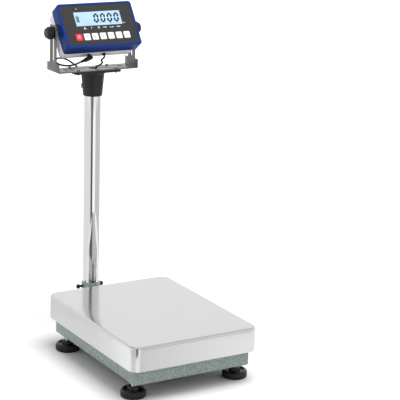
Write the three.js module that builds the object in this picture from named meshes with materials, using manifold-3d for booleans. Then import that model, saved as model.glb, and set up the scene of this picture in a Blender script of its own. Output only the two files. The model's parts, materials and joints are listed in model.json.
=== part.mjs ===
// Platform bench scale: a stainless pan on two steel frames with a load cell between them, and
// a column behind the platform that carries a tilting indicator.
// Millimetres. +X is to the reader's right, -Y is towards the reader and +Z is up.
// z = 0 is the floor, and x = 0, y = 0 is the middle of the scale's footprint.

import * as THREE from "three";
import { mergeVertices } from "three/addons/utils/BufferGeometryUtils.js";
import Module from "manifold-3d";

const wasm = await Module();
wasm.setup();

// ---------------------------------------------------------------- driving sizes

const GAP = 0.3; // between neighbours that touch, thread together or slide
const ROUND = { small: 12, middle: 20, large: 32, corner: 4, key: 2, edge: 2 }; // sides of round shapes
const EXTRA = 1; // how far a cutting tool runs past the face it starts from
const WELD = 0.8; // how far welded pieces of one part sink into each other

const PAN = { width: 300, depth: 400, top: 120, skirt: 52, sheet: 1.2, corner: 22, bend: 4 };

const BASE = {
  sideInset: 13, // pan's edge to the frame's side
  endInset: 15,
  bottom: 34,
  height: 40,
  rail: 30,
  wall: 2,
  corner: 6,
};
const PLATFORM = { sideInset: 25, endInset: 25, rail: 20, height: 20, wall: 2, corner: 8 };

const CELL = {
  length: 150,
  width: 30,
  height: 32,
  eye: 9,
  eyeSpread: 32,
  slot: 6,
  shim: 3,
  boltPitch: 24,
  boltsFromEnd: 20, // to the middle of a pair of bolts
};
const BRIDGE = { width: 70, plate: 8, aboveRails: 3.2 };
const BOLT_SHORT = 2; // how far a bolt ends before its threaded hole does

const FOOT = {
  radius: 26.5,
  height: 16,
  edge: 2,
  chamfer: 3,
  dish: 3,
  dishRadius: 20,
  collar: 12,
  collarTop: 22,
  studTop: 60,
  fromEnd: 33, // frame's end face to the foot's axis
};
const STOP = { fromSide: 22, fromEnd: 17, play: 1, depth: 12 };
const PAD = { radius: 10, height: 4.2, stem: 4, stemDepth: 6, fromCorner: 24 };
const LEVEL = { radius: 9, height: 8, lip: 1, x: -65 };

const COLUMN = { behindPan: 82, radius: 19, wall: 1.5, top: 578 };
const SLEEVE = { wall: 2.2, top: 102, floor: 3, screwBelowTop: 8 };
const ARM = {
  halfWidth: 21,
  sheet: 3,
  underPan: 4,
  plateWidth: 100,
  plate: 4,
  boltX: 38,
  boltLength: 18,
};
const LEAD_HOLE = 6; // radius of the holes that the load cell's own lead uses

const HEAD = { overlap: 41, wall: 2.2, flare: 4.5, edge: 1.2, lip: 4, flange: 5 };
const FLANGE = { width: 114, depth: 60, corner: 6 };
const HEAD_PORT = { radius: 3.2, aboveColumn: 6 };
const HEAD_SCREW = { angle: 135, belowColumnTop: 21, radius: 6.5, dome: 4, offWall: 1 };

const TRAY = { aboveColumn: 18, sideGap: 7, depth: 58, sheet: 2, wall: 20, bend: 3, hole: 10 };
const UPRIGHT = { width: 31, corner: 4, abovePivot: 17, slot: 6.5, slotFromWall: 4 };
const KEYHOLE = { x: 67.5, y: 2, radius: 5, stem: 3, stemLength: 9 };
const TRAY_SCREW = { x: 46, y: 22, radius: 4.2, dome: 2.4, shaft: 2, length: 10.5 };

const PIVOT = { aboveTray: 86, behindFace: 36, aboveMiddle: 3 };
const TILT = THREE.MathUtils.degToRad(35);
const CASE = {
  width: 182,
  height: 107,
  bezelDepth: 29,
  backDepth: 29,
  backInset: 2.2,
  wall: 2.5,
  corner: 7,
  backCorner: 10,
  rim: 5.2,
  frontEdge: 1.5,
  backEdge: 4.5,
  recess: 2.3,
  ledge: 4,
  front: 3.8,
};
const BOSS = { radius: 6.2, stud: 3, studDepth: 12 };
const PANEL = { sheet: 1.5, corner: 3 };
const SCREEN = { width: 112, height: 33.3, z: 14.7, corner: 1, frame: 4, depth: 9 };
const KEY = {
  width: 15.3,
  height: 16.2,
  pitch: 19.4,
  x: 1,
  z: -28.4,
  proud: 0.6,
  depth: 3.2,
  corner: 2,
};
const BOARD = { width: 150, height: 84, corner: 2, sheet: 1.6, behindFace: 16 };
const BOARD_PARTS = [
  { x: -50, z: 18, width: 14, height: 14, depth: 3.5 }, // processor
  { x: -20, z: 22, width: 18, height: 8, depth: 3.5 }, // converter
  { x: -52, z: -20, width: 10, height: 22, depth: 7 }, // lead connector
  { x: -28, z: -22, width: 12, height: 12, depth: 7 }, // buzzer
];
const BATTERY = { width: 72, height: 38, depth: 18, x: 22, corner: 4 };
const KNOB = {
  neck: 5,
  neckLength: 1,
  radius: 15.2,
  rib: 0.9,
  ribs: 14,
  ribShare: 0.35,
  length: 11,
  boss: 11,
  bossLength: 4.5,
};
const PLUG = {
  x: -24,
  y: 6,
  width: 10,
  height: 8,
  length: 20,
  neck: 3.5,
  drop: 3,
  boot: 3.4,
  bootLength: 10,
  droop: 18,
};
const GLAND = { x: 13, y: 6, nut: 4.2, height: 4, neck: 3.4 };
const INLET = { x: 48, z: -33, radius: 5.5, hole: 2.6, depth: 7, end: 2 };
const LEAD = { radius: 2, sides: 10, diametersPerStep: 2 };

const M6 = { shaft: 3, head: 5, headHeight: 6, socket: 5, socketDepth: 4 };
const M8 = { shaft: 4, flats: 13, headHeight: 5.3 };
const M10 = { shaft: 5, flats: 17, nutHeight: 6 };
const CLAMP_SCREW_OUT = { left: 8, right: 2 }; // shaft showing between the sleeve and the head

// ---------------------------------------------------------------- places worked out from them

const middleToBack = CASE.bezelDepth + CASE.backDepth - PIVOT.behindFace;
const middleToTop = CASE.height / 2 - CASE.backInset - PIVOT.aboveMiddle;
const rearReach = middleToBack * Math.cos(TILT) + middleToTop * Math.sin(TILT) - CASE.backEdge / 2;
const columnY = (PAN.depth + COLUMN.behindPan - rearReach) / 2;
const panY = columnY - COLUMN.behindPan - PAN.depth / 2;

const baseWidth = PAN.width - 2 * BASE.sideInset;
const baseDepth = PAN.depth - 2 * BASE.endInset;
const baseTop = BASE.bottom + BASE.height;
const baseRear = panY + baseDepth / 2;
const padTop = PAN.top - PAN.sheet - GAP;
const platformTop = padTop - PAD.height - GAP;
const platformBottom = platformTop - PLATFORM.height;
const platformWidth = PAN.width - 2 * PLATFORM.sideInset;
const platformDepth = PAN.depth - 2 * PLATFORM.endInset;

const upperBridge = platformBottom + BRIDGE.aboveRails;
const upperBridgeTop = upperBridge + BRIDGE.plate;
const upperShim = upperBridge - GAP - CELL.shim;
const cellTop = upperShim - GAP;
const cellBottom = cellTop - CELL.height;
const lowerShim = cellBottom - GAP - CELL.shim;
const bridgeTop = lowerShim - GAP;
const cellEndY = CELL.length / 2 - CELL.boltsFromEnd;

const footX = baseWidth / 2 - BASE.rail / 2;
const footY = baseDepth / 2 - FOOT.fromEnd;
const stopX = baseWidth / 2 - STOP.fromSide;
const stopY = baseDepth / 2 - STOP.fromEnd;
const padX = platformWidth / 2 - PLATFORM.rail / 2;
const padY = platformDepth / 2 - PAD.fromCorner;
const armTop = PAN.top - PAN.skirt - ARM.underPan;
const boltZ = (BASE.bottom + armTop) / 2;

const sleeveInner = COLUMN.radius + GAP;
const sleeveOuter = sleeveInner + SLEEVE.wall;
const clampZ = SLEEVE.top - SLEEVE.screwBelowTop;
const headBottom = COLUMN.top - HEAD.overlap;
const headBottomRadius = COLUMN.radius + GAP + HEAD.wall;
const headTopRadius = headBottomRadius + HEAD.flare;
const headScrewZ = COLUMN.top - HEAD_SCREW.belowColumnTop;
const trayBottom = COLUMN.top + TRAY.aboveColumn;
const trayWidth = CASE.width + 2 * TRAY.sideGap;
const headTop = trayBottom - GAP;
const trayTop = trayBottom + TRAY.sheet;
const pivotZ = trayBottom + PIVOT.aboveTray;
const uprightInner = trayWidth / 2 - TRAY.sheet;

const faceY = -PIVOT.behindFace; // in the indicator's own frame, whose origin is the pivot
const caseZ = -PIVOT.aboveMiddle;
const bezelBackY = faceY + CASE.bezelDepth;
const backY = bezelBackY + CASE.backDepth;
const backWidth = CASE.width - 2 * CASE.backInset;
const backHeight = CASE.height - 2 * CASE.backInset;
const undersideZ = caseZ - backHeight / 2;
const panelWidth = CASE.width - 2 * CASE.rim - 2 * GAP;
const panelHeight = CASE.height - 2 * CASE.rim - 2 * GAP;
const panelBackY = faceY + CASE.recess - GAP;
const panelFrontY = panelBackY - PANEL.sheet;

// ---------------------------------------------------------------- finishes

function finish(color, roughness, metalness) {
  return new THREE.MeshStandardMaterial({ color, roughness, metalness });
}

const STAINLESS = finish("#d4d6d8", 0.28, 1);
const POLISHED = finish("#dcdfe1", 0.12, 1);
const HAMMERTONE = finish("#7f8a86", 0.55, 0.3);
const ALUMINIUM = finish("#c3c6c9", 0.4, 1);
const ZINC = finish("#b9bcc0", 0.35, 1);
const CHROME = finish("#d9dcdf", 0.12, 1);
const BLACK_OXIDE = finish("#1b1c1e", 0.4, 0.6);
const BLACK_STEEL = finish("#3a3b3d", 0.5, 0.4);
const BLACK_PLASTIC = finish("#222325", 0.5, 0);
const RUBBER = finish("#1f2022", 0.8, 0);
const BLUE_PLASTIC = finish("#1c4a9c", 0.35, 0);
const GREY_PLASTIC = finish("#dddddb", 0.45, 0);
const MEMBRANE = finish("#2f3032", 0.5, 0);
const SCREEN_BLUE = finish("#bfe3fb", 0.25, 0);
const RED_KEY = finish("#d8393b", 0.45, 0);
const WHITE_KEY = finish("#f1f1ef", 0.45, 0);
const BOARD_GREEN = finish("#2c6b43", 0.5, 0);
const BATTERY_WRAP = finish("#3d5f8f", 0.5, 0);
const CORD_BLACK = finish("#17181a", 0.55, 0);
const LEVEL_BRASS = finish("#b9a060", 0.35, 1);

// ---------------------------------------------------------------- solids

function solid(geometry) {
  const loose = geometry.index ? geometry.toNonIndexed() : geometry.clone();
  loose.deleteAttribute("normal");
  loose.deleteAttribute("uv");
  const merged = mergeVertices(loose, 1e-3);
  return new wasm.Manifold(
    new wasm.Mesh({
      numProp: 3,
      vertProperties: merged.attributes.position.array,
      triVerts: new Uint32Array(merged.index.array),
    }),
  );
}

function geometryOf(made) {
  const { vertProperties, triVerts } = made.getMesh();
  const indexed = new THREE.BufferGeometry()
    .setAttribute("position", new THREE.BufferAttribute(new Float32Array(vertProperties), 3))
    .setIndex(new THREE.BufferAttribute(new Uint32Array(triVerts), 1));
  const faceted = indexed.toNonIndexed();
  faceted.computeVertexNormals();
  return faceted;
}

function join(...pieces) {
  return pieces.reduce((whole, piece) => whole.add(piece));
}

function cut(from, ...tools) {
  return tools.reduce((left, tool) => left.subtract(tool), from);
}

// A box from two opposite corners.
function block([x0, y0, z0], [x1, y1, z1]) {
  const box = new THREE.BoxGeometry(x1 - x0, y1 - y0, z1 - z0);
  return solid(box.translate((x0 + x1) / 2, (y0 + y1) / 2, (z0 + z1) / 2));
}

// A round bar along +Z from z0 to z1, with its axis at x, y.
function rod(radius, z0, z1, x = 0, y = 0, sides = ROUND.small) {
  const bar = new THREE.CylinderGeometry(radius, radius, z1 - z0, sides).rotateX(Math.PI / 2);
  return solid(bar.translate(x, y, (z0 + z1) / 2));
}

// A round bar along Y from y0 to y1, with its axis at x, z.
function rodAlongY(radius, y0, y1, x, z, sides = ROUND.small) {
  const bar = new THREE.CylinderGeometry(radius, radius, y1 - y0, sides);
  return solid(bar.translate(x, (y0 + y1) / 2, z));
}

// A round bar along X from x0 to x1, with its axis at y, z.
function rodAlongX(radius, x0, x1, y, z, sides = ROUND.small) {
  const bar = new THREE.CylinderGeometry(radius, radius, x1 - x0, sides).rotateZ(Math.PI / 2);
  return solid(bar.translate((x0 + x1) / 2, y, z));
}

// A hexagon bar along +Z, measured across its flats.
function hexagon(flats, z0, z1, x = 0, y = 0) {
  return rod(flats / Math.sqrt(3), z0, z1, x, y, 6);
}

// A turned shape about Z from [radius, z] points that start and end on the axis.
function turned(profile, sides = ROUND.middle) {
  const points = profile.map(([radius, z]) => new THREE.Vector2(radius, z));
  return solid(new THREE.LatheGeometry(points, sides).rotateX(Math.PI / 2));
}

function roundedRectangle(width, height, radius) {
  const x = width / 2;
  const y = height / 2;
  const r = Math.max(0.01, Math.min(radius, x, y));
  const outline = new THREE.Shape();
  outline.absarc(x - r, y - r, r, 0, Math.PI / 2, false);
  outline.absarc(r - x, y - r, r, Math.PI / 2, Math.PI, false);
  outline.absarc(r - x, r - y, r, Math.PI, 1.5 * Math.PI, false);
  outline.absarc(x - r, r - y, r, 1.5 * Math.PI, 2 * Math.PI, false);
  outline.closePath();
  return outline;
}

// An outline in X and Y made thick from z0 to z1.
function slab(outline, z0, z1, curveSegments = ROUND.corner) {
  const options = { depth: z1 - z0, bevelEnabled: false, curveSegments };
  return solid(new THREE.ExtrudeGeometry(outline, options).translate(0, 0, z0));
}

// An outline in X and Z made thick from y0 to y1, moved to x, z.
function facePlate(outline, y0, y1, x = 0, z = 0, curveSegments = ROUND.corner) {
  const options = { depth: y1 - y0, bevelEnabled: false, curveSegments };
  const plate = new THREE.ExtrudeGeometry(outline, options).rotateX(Math.PI / 2);
  return solid(plate.translate(x, y1, z));
}

// A rounded rectangle made thick from z = 0, with both ends rounded by edge.
function softSlab(width, height, corner, edge, thickness) {
  const outline = roundedRectangle(width - 2 * edge, height - 2 * edge, corner - edge);
  const options = {
    depth: thickness - 2 * edge,
    bevelSize: edge,
    bevelThickness: edge,
    bevelSegments: ROUND.edge,
    curveSegments: ROUND.corner,
  };
  return solid(new THREE.ExtrudeGeometry(outline, options).translate(0, 0, edge));
}

// A soft slab stood up with its z = 0 end facing back, at y.
function softPlate(width, height, corner, edge, thickness, y, z) {
  return softSlab(width, height, corner, edge, thickness).rotate([90, 0, 0]).translate([0, y, z]);
}

// ---------------------------------------------------------------- frames and platform

// A rectangular ring of hollow rail, centred on the pan.
function railRing(width, depth, z0, height, { rail, wall, corner }) {
  const ring = (inset) => {
    const low = z0 + inset;
    const high = z0 + height - inset;
    const outer = roundedRectangle(width - 2 * inset, depth - 2 * inset, corner - inset);
    const inner = roundedRectangle(width - 2 * (rail - inset), depth - 2 * (rail - inset), wall);
    return cut(slab(outer, low, high), slab(inner, low - EXTRA, high + EXTRA));
  };
  return cut(ring(0), ring(wall));
}

function fourCorners(x, y) {
  return [
    ["front_left", -x, -y],
    ["front_right", x, -y],
    ["rear_left", -x, y],
    ["rear_right", x, y],
  ];
}

function lowerFrame() {
  const inner = baseWidth / 2 - BASE.rail + WELD;
  const y0 = cellEndY - BRIDGE.width / 2;
  const y1 = cellEndY + BRIDGE.width / 2;
  const plate = block([-inner, y0, bridgeTop - BRIDGE.plate], [inner, y1, bridgeTop]);
  const studHoles = fourCorners(footX, footY).map(([, x, y]) =>
    rod(M10.shaft + GAP, BASE.bottom - EXTRA, BASE.bottom + BASE.wall + EXTRA, x, y),
  );
  const stopHoles = fourCorners(stopX, stopY).map(([, x, y]) =>
    rod(M8.shaft + GAP, baseTop - BASE.wall - EXTRA, baseTop + EXTRA, x, y),
  );
  const cellHoles = boltRow(cellEndY).map((y) =>
    rod(M8.shaft + GAP, bridgeTop - BRIDGE.plate - EXTRA, bridgeTop + EXTRA, 0, y),
  );
  const rear = baseDepth / 2;
  const armHoles = [-ARM.boltX, ARM.boltX].map((x) =>
    rodAlongY(M8.shaft + GAP, rear - BASE.wall - EXTRA, rear + EXTRA, x, boltZ),
  );
  const leadHole = rodAlongY(LEAD_HOLE, rear - BASE.rail - EXTRA, rear + EXTRA, 0, boltZ);
  return cut(
    join(railRing(baseWidth, baseDepth, BASE.bottom, BASE.height, BASE), plate),
    ...studHoles,
    ...stopHoles,
    ...cellHoles,
    ...armHoles,
    leadHole,
  );
}

function upperFrame() {
  const inner = platformWidth / 2 - PLATFORM.rail + WELD;
  const half = BRIDGE.width / 2;
  const plate = block([-inner, -cellEndY - half, upperBridge], [inner, -cellEndY + half, upperBridgeTop]);
  const padHoles = fourCorners(padX, padY).map(([, x, y]) =>
    rod(PAD.stem + GAP, platformTop - PLATFORM.wall - EXTRA, platformTop + EXTRA, x, y),
  );
  const cellHoles = boltRow(-cellEndY).map((y) =>
    rod(M8.shaft + GAP, upperBridge - EXTRA, upperBridgeTop + EXTRA, 0, y),
  );
  const ring = railRing(platformWidth, platformDepth, platformBottom, PLATFORM.height, PLATFORM);
  return cut(join(ring, plate), ...padHoles, ...cellHoles);
}

function boltRow(middle) {
  return [middle - CELL.boltPitch / 2, middle + CELL.boltPitch / 2];
}

function loadCell() {
  const half = CELL.length / 2;
  const middleZ = (cellBottom + cellTop) / 2;
  const reach = CELL.width / 2 + EXTRA;
  const eyes = [-CELL.eyeSpread / 2, CELL.eyeSpread / 2].map((y) =>
    rodAlongX(CELL.eye, -reach, reach, y, middleZ),
  );
  const slot = block(
    [-reach, -CELL.eyeSpread / 2, middleZ - CELL.slot / 2],
    [reach, CELL.eyeSpread / 2, middleZ + CELL.slot / 2],
  );
  const lowerThreads = boltRow(cellEndY).map((y) =>
    rod(M8.shaft + GAP, cellBottom - EXTRA, cellBottom + CELL.height / 2, 0, y),
  );
  const upperThreads = boltRow(-cellEndY).map((y) =>
    rod(M8.shaft + GAP, cellTop - CELL.height / 2, cellTop + EXTRA, 0, y),
  );
  return cut(
    block([-CELL.width / 2, -half, cellBottom], [CELL.width / 2, half, cellTop]),
    ...eyes,
    slot,
    ...lowerThreads,
    ...upperThreads,
  );
}

// A plate between the load cell and a bridge, at the cell's end nearest endY.
function shim(z, endY) {
  const side = Math.sign(endY);
  const outer = side * (CELL.length / 2);
  const inner = side * (cellEndY - CELL.boltPitch);
  const holes = boltRow(endY).map((y) => rod(M8.shaft + GAP, z - EXTRA, z + CELL.shim + EXTRA, 0, y));
  return cut(
    block(
      [-CELL.width / 2, Math.min(outer, inner), z],
      [CELL.width / 2, Math.max(outer, inner), z + CELL.shim],
    ),
    ...holes,
  );
}

function lowerCellBolt(y) {
  const headTopZ = bridgeTop - BRIDGE.plate - GAP;
  return join(
    hexagon(M8.flats, headTopZ - M8.headHeight, headTopZ, 0, y),
    rod(M8.shaft, headTopZ - EXTRA, cellBottom + CELL.height / 2 - BOLT_SHORT, 0, y),
  );
}

function upperCellBolt(y) {
  const seat = upperBridgeTop + GAP;
  return join(
    hexagon(M8.flats, seat, seat + M8.headHeight, 0, y),
    rod(M8.shaft, cellTop - CELL.height / 2 + BOLT_SHORT, seat + EXTRA, 0, y),
  );
}

function overloadStop(x, y) {
  const top = platformBottom - STOP.play;
  return join(
    hexagon(M8.flats, top - M8.headHeight, top, x, y),
    rod(M8.shaft, baseTop - STOP.depth, top - EXTRA, x, y),
  );
}

function panPad(x, y) {
  return join(
    rod(PAD.radius, platformTop + GAP, padTop, x, y, ROUND.middle),
    rod(PAD.stem, platformTop - PAD.stemDepth, platformTop + GAP + EXTRA, x, y),
  );
}

function bubbleLevel() {
  const { radius, height, lip, x } = LEVEL;
  return turned([
    [0, 0],
    [radius, 0],
    [radius, height - lip],
    [radius - lip, height],
    [radius - 2 * lip, height],
    [radius - 3 * lip, height - lip],
    [0, height - lip / 2],
  ]).translate([x, -cellEndY, upperBridgeTop + GAP]);
}

function pan() {
  const uncut = PAN.skirt + 2 * PAN.bend; // deep enough to lose its lower rounding
  const filled = (inset, depth) => {
    const whole = softSlab(
      PAN.width - 2 * inset,
      PAN.depth - 2 * inset,
      PAN.corner - inset,
      PAN.bend - inset,
      uncut,
    );
    const below = block([-PAN.width, -PAN.depth, -EXTRA], [PAN.width, PAN.depth, uncut - depth]);
    return cut(whole, below).translate([0, 0, PAN.top - inset - uncut]);
  };
  return cut(filled(0, PAN.skirt), filled(PAN.sheet, PAN.skirt + EXTRA));
}

// ---------------------------------------------------------------- feet

function levellingFoot(x, y) {
  const { radius, height, edge, chamfer, dish, dishRadius, collar, collarTop, studTop } = FOOT;
  return turned([
    [0, 0],
    [radius - edge, 0],
    [radius, edge],
    [radius, height - chamfer],
    [radius - chamfer, height],
    [dishRadius, height],
    [dishRadius - 1, height - dish],
    [collar + 1, height - dish],
    [collar, collarTop],
    [M10.shaft, collarTop],
    [M10.shaft, studTop],
    [0, studTop],
  ]).translate([x, y, 0]);
}

function footLocknut(x, y) {
  const top = BASE.bottom - GAP;
  const bottom = top - M10.nutHeight;
  return cut(
    hexagon(M10.flats, bottom, top, x, y),
    rod(M10.shaft + GAP, bottom - EXTRA, top + EXTRA, x, y),
  );
}

// ---------------------------------------------------------------- column

function columnBracket() {
  const plateY = baseRear + GAP;
  const outer = ARM.halfWidth + ARM.sheet;
  const plate = block(
    [-ARM.plateWidth / 2, plateY, BASE.bottom],
    [ARM.plateWidth / 2, plateY + ARM.plate, armTop],
  );
  const channel = cut(
    block([-outer, plateY + ARM.plate - WELD, BASE.bottom], [outer, columnY, armTop]),
    block(
      [-ARM.halfWidth, plateY, BASE.bottom - EXTRA],
      [ARM.halfWidth, columnY + EXTRA, armTop - ARM.sheet],
    ),
  );
  const sleeve = rod(sleeveOuter, BASE.bottom, SLEEVE.top, 0, columnY, ROUND.large);
  const bore = rod(sleeveInner, BASE.bottom + SLEEVE.floor, SLEEVE.top + EXTRA, 0, columnY, ROUND.large);
  const floorHole = rod(LEAD_HOLE, BASE.bottom - EXTRA, BASE.bottom + SLEEVE.floor + EXTRA, 0, columnY);
  const boltHoles = [-ARM.boltX, ARM.boltX].map((x) =>
    rodAlongY(M8.shaft + GAP, plateY - EXTRA, plateY + ARM.plate + EXTRA, x, boltZ),
  );
  const leadHole = rodAlongY(LEAD_HOLE, plateY - EXTRA, columnY, 0, boltZ);
  const screwHole = rodAlongX(M6.shaft + GAP, -2 * sleeveOuter, 2 * sleeveOuter, columnY, clampZ);
  return cut(join(plate, channel, sleeve), bore, floorHole, ...boltHoles, leadHole, screwHole);
}

function bracketBolt(x) {
  const seat = baseRear + GAP + ARM.plate + GAP;
  const head = hexagon(M8.flats, 0, M8.headHeight);
  const shaft = rod(M8.shaft, -ARM.boltLength, EXTRA);
  return join(head, shaft).rotate([-90, 0, 0]).translate([x, seat, boltZ]);
}

// A socket head screw that points at the column's axis from side -1 (left) or 1 (right).
function clampScrew(side, out) {
  const tip = COLUMN.radius + GAP;
  const seat = sleeveOuter + out;
  const head = rod(M6.head, seat, seat + M6.headHeight, 0, 0, ROUND.middle);
  const screw = cut(
    join(rod(M6.shaft, tip, seat + EXTRA), head),
    hexagon(M6.socket, seat + M6.headHeight - M6.socketDepth, seat + M6.headHeight + EXTRA),
  );
  return screw.rotate([0, side * 90, 0]).translate([0, columnY, clampZ]);
}

function columnTube() {
  const bottom = BASE.bottom + SLEEVE.floor + GAP;
  return cut(
    rod(COLUMN.radius, bottom, COLUMN.top, 0, columnY, ROUND.large),
    rod(COLUMN.radius - COLUMN.wall, bottom - EXTRA, COLUMN.top + EXTRA, 0, columnY, ROUND.large),
  );
}

function columnHead() {
  const flangeBottom = headTop - HEAD.flange;
  const collar = turned(
    [
      [0, headBottom],
      [headBottomRadius - HEAD.edge, headBottom],
      [headBottomRadius, headBottom + HEAD.edge],
      [headTopRadius, flangeBottom + WELD],
      [0, flangeBottom + WELD],
    ],
    ROUND.large,
  );
  const flange = slab(
    roundedRectangle(FLANGE.width, FLANGE.depth, FLANGE.corner),
    flangeBottom,
    headTop,
  );
  const shoulder = COLUMN.top + GAP;
  const portZ = COLUMN.top + HEAD_PORT.aboveColumn;
  const screwHole = rodAlongX(M6.shaft + GAP, 0, 2 * headTopRadius, 0, 0)
    .rotate([0, 0, HEAD_SCREW.angle])
    .translate([0, 0, headScrewZ]);
  const flangeHoles = fourCorners(TRAY_SCREW.x, TRAY_SCREW.y).map(([, x, y]) =>
    rod(TRAY_SCREW.shaft + GAP, flangeBottom - EXTRA, headTop + EXTRA, x, y),
  );
  return cut(
    join(collar, flange),
    rod(COLUMN.radius + GAP, headBottom - EXTRA, shoulder, 0, 0, ROUND.large),
    rod(COLUMN.radius - HEAD.lip, shoulder - EXTRA, headTop + EXTRA, 0, 0, ROUND.middle),
    rodAlongY(HEAD_PORT.radius, 0, headTopRadius + EXTRA, 0, portZ),
    screwHole,
    ...flangeHoles,
  ).translate([0, columnY, 0]);
}

// A domed screw in the side of the column head.
function headScrew() {
  const { angle, radius, dome, offWall } = HEAD_SCREW;
  const share = (headScrewZ - headBottom) / (headTop - HEAD.flange - headBottom);
  const seat = headBottomRadius + (headTopRadius - headBottomRadius) * share + offWall;
  return turned(
    [
      [0, COLUMN.radius + GAP],
      [M6.shaft, COLUMN.radius + GAP],
      [M6.shaft, seat],
      [radius, seat],
      [radius, seat + 0.3 * dome],
      [0.7 * radius, seat + 0.8 * dome],
      [0, seat + dome],
    ],
    ROUND.small,
  )
    .rotate([0, 90, 0])
    .rotate([0, 0, angle])
    .translate([0, columnY, headScrewZ]);
}

// ---------------------------------------------------------------- indicator bracket

function keyhole(x) {
  const z0 = trayBottom - EXTRA;
  const z1 = trayTop + EXTRA;
  const { y, radius, stem, stemLength } = KEYHOLE;
  return join(
    rod(radius, z0, z1, x, y),
    block([x - stem, y - stemLength, z0], [x + stem, y, z1]),
  );
}

function indicatorBracket() {
  const x = trayWidth / 2;
  const y = TRAY.depth / 2;
  const top = pivotZ + UPRIGHT.abovePivot;
  const { sheet, wall, bend } = TRAY;
  const leftHalf = [
    [bend - x, sheet],
    [sheet - x, bend],
    [sheet - x, wall],
    [-x, wall],
    [-x, 0],
  ];
  const rightHalf = leftHalf.map(([px, pz]) => [-px, pz]).reverse();
  const outline = new THREE.Shape([...leftHalf, ...rightHalf].map((p) => new THREE.Vector2(...p)));
  const tray = facePlate(outline, -y, y, 0, trayBottom);
  const armBottom = trayBottom + bend;
  const armOutline = roundedRectangle(UPRIGHT.width, top - armBottom, UPRIGHT.corner);
  const uprights = [sheet - x, x].map((outerX) =>
    facePlate(armOutline, 0, sheet, 0, (top + armBottom) / 2).rotate([0, 0, 90]).translate([outerX, 0, 0]),
  );
  const slotRadius = UPRIGHT.slot / 2 + GAP;
  const slotLow = trayBottom + wall + UPRIGHT.slotFromWall + slotRadius;
  const slot = join(
    block([-x - EXTRA, -slotRadius, slotLow], [x + EXTRA, slotRadius, pivotZ]),
    rodAlongX(slotRadius, -x - EXTRA, x + EXTRA, 0, slotLow),
    rodAlongX(slotRadius, -x - EXTRA, x + EXTRA, 0, pivotZ),
  );
  const screwHoles = fourCorners(TRAY_SCREW.x, TRAY_SCREW.y).map(([, sx, sy]) =>
    rod(TRAY_SCREW.shaft + GAP, trayBottom - EXTRA, trayTop + EXTRA, sx, sy),
  );
  const centreHole = rod(TRAY.hole, trayBottom - EXTRA, trayTop + EXTRA, 0, 0, ROUND.middle);
  return cut(
    join(tray, ...uprights),
    slot,
    ...screwHoles,
    centreHole,
    keyhole(-KEYHOLE.x),
    keyhole(KEYHOLE.x),
  ).translate([0, columnY, 0]);
}

function trayScrew(x, y) {
  const seat = trayTop + GAP;
  const { radius, dome, shaft, length } = TRAY_SCREW;
  return turned(
    [
      [0, seat - length],
      [shaft, seat - length],
      [shaft, seat],
      [radius, seat],
      [radius, seat + 0.4 * dome],
      [0.6 * radius, seat + dome],
      [0, seat + dome],
    ],
    ROUND.small,
  ).translate([x, columnY + y, 0]);
}

// A ribbed knob with its stud, for side -1 (left) or 1 (right), about the pivot.
function tiltKnob(side) {
  const start = trayWidth / 2 + GAP;
  const grip = start + KNOB.neckLength;
  const end = grip + KNOB.length;
  const outline = [];
  for (let i = 0; i < 2 * KNOB.ribs; i++) {
    const r = i % 2 ? KNOB.radius - KNOB.rib : KNOB.radius;
    for (const turn of [i - KNOB.ribShare, i + KNOB.ribShare]) {
      const angle = (turn * Math.PI) / KNOB.ribs;
      outline.push(new THREE.Vector2(r * Math.cos(angle), r * Math.sin(angle)));
    }
  }
  const knob = join(
    slab(new THREE.Shape(outline), grip, end),
    rod(KNOB.neck, start, grip + WELD),
    rod(KNOB.boss, end - WELD, end + KNOB.bossLength, 0, 0, ROUND.middle),
    rod(BOSS.stud, uprightInner - BOSS.studDepth, start + WELD),
  );
  return knob.rotate([0, side * 90, 0]);
}

// ---------------------------------------------------------------- indicator, about its pivot

function frontBezel() {
  const beyond = bezelBackY + 2 * CASE.frontEdge; // the plate's rounded back is cut off
  const whole = softPlate(
    CASE.width,
    CASE.height,
    CASE.corner,
    CASE.frontEdge,
    beyond - faceY,
    beyond,
    caseZ,
  );
  const opening = (inset, y0, y1, corner) => {
    const outline = roundedRectangle(CASE.width - 2 * inset, CASE.height - 2 * inset, corner);
    return facePlate(outline, y0, y1, 0, caseZ);
  };
  return cut(
    whole,
    opening(-EXTRA, bezelBackY, beyond + EXTRA, CASE.corner),
    opening(CASE.wall, faceY + CASE.front, beyond + EXTRA, CASE.corner - CASE.wall),
    opening(CASE.rim, faceY - EXTRA, faceY + CASE.recess, PANEL.corner),
    opening(CASE.rim + CASE.ledge, faceY, faceY + CASE.front + EXTRA, PANEL.corner),
  );
}

function rearHousing() {
  const start = bezelBackY + GAP;
  const uncut = CASE.backDepth + 2 * CASE.backEdge; // its rounded front is cut off
  const filled = (inset) =>
    softPlate(
      backWidth - 2 * inset,
      backHeight - 2 * inset,
      CASE.backCorner - inset,
      CASE.backEdge - inset,
      uncut,
      backY - inset,
      caseZ,
    );
  const front = block([-CASE.width, start - uncut, -CASE.height], [CASE.width, start, CASE.height]);
  const bosses = [-1, 1].map((side) => {
    const x0 = side * (backWidth / 2 - CASE.wall);
    const x1 = side * (uprightInner - GAP);
    return rodAlongX(BOSS.radius, Math.min(x0, x1), Math.max(x0, x1), 0, 0, ROUND.middle);
  });
  const studHole = rodAlongX(BOSS.stud + GAP, -CASE.width, CASE.width, 0, 0);
  const leadHoles = [PLUG, GLAND].map(({ x, y, neck }) =>
    rod(neck + GAP, undersideZ - EXTRA, undersideZ + CASE.wall + EXTRA, x, y),
  );
  const socketHole = rodAlongY(
    INLET.radius + GAP,
    backY - CASE.wall - EXTRA,
    backY + EXTRA,
    INLET.x,
    caseZ + INLET.z,
    ROUND.middle,
  );
  const walls = cut(join(filled(0), ...bosses), filled(CASE.wall));
  return cut(walls, studHole, ...leadHoles, socketHole, front);
}

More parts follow.
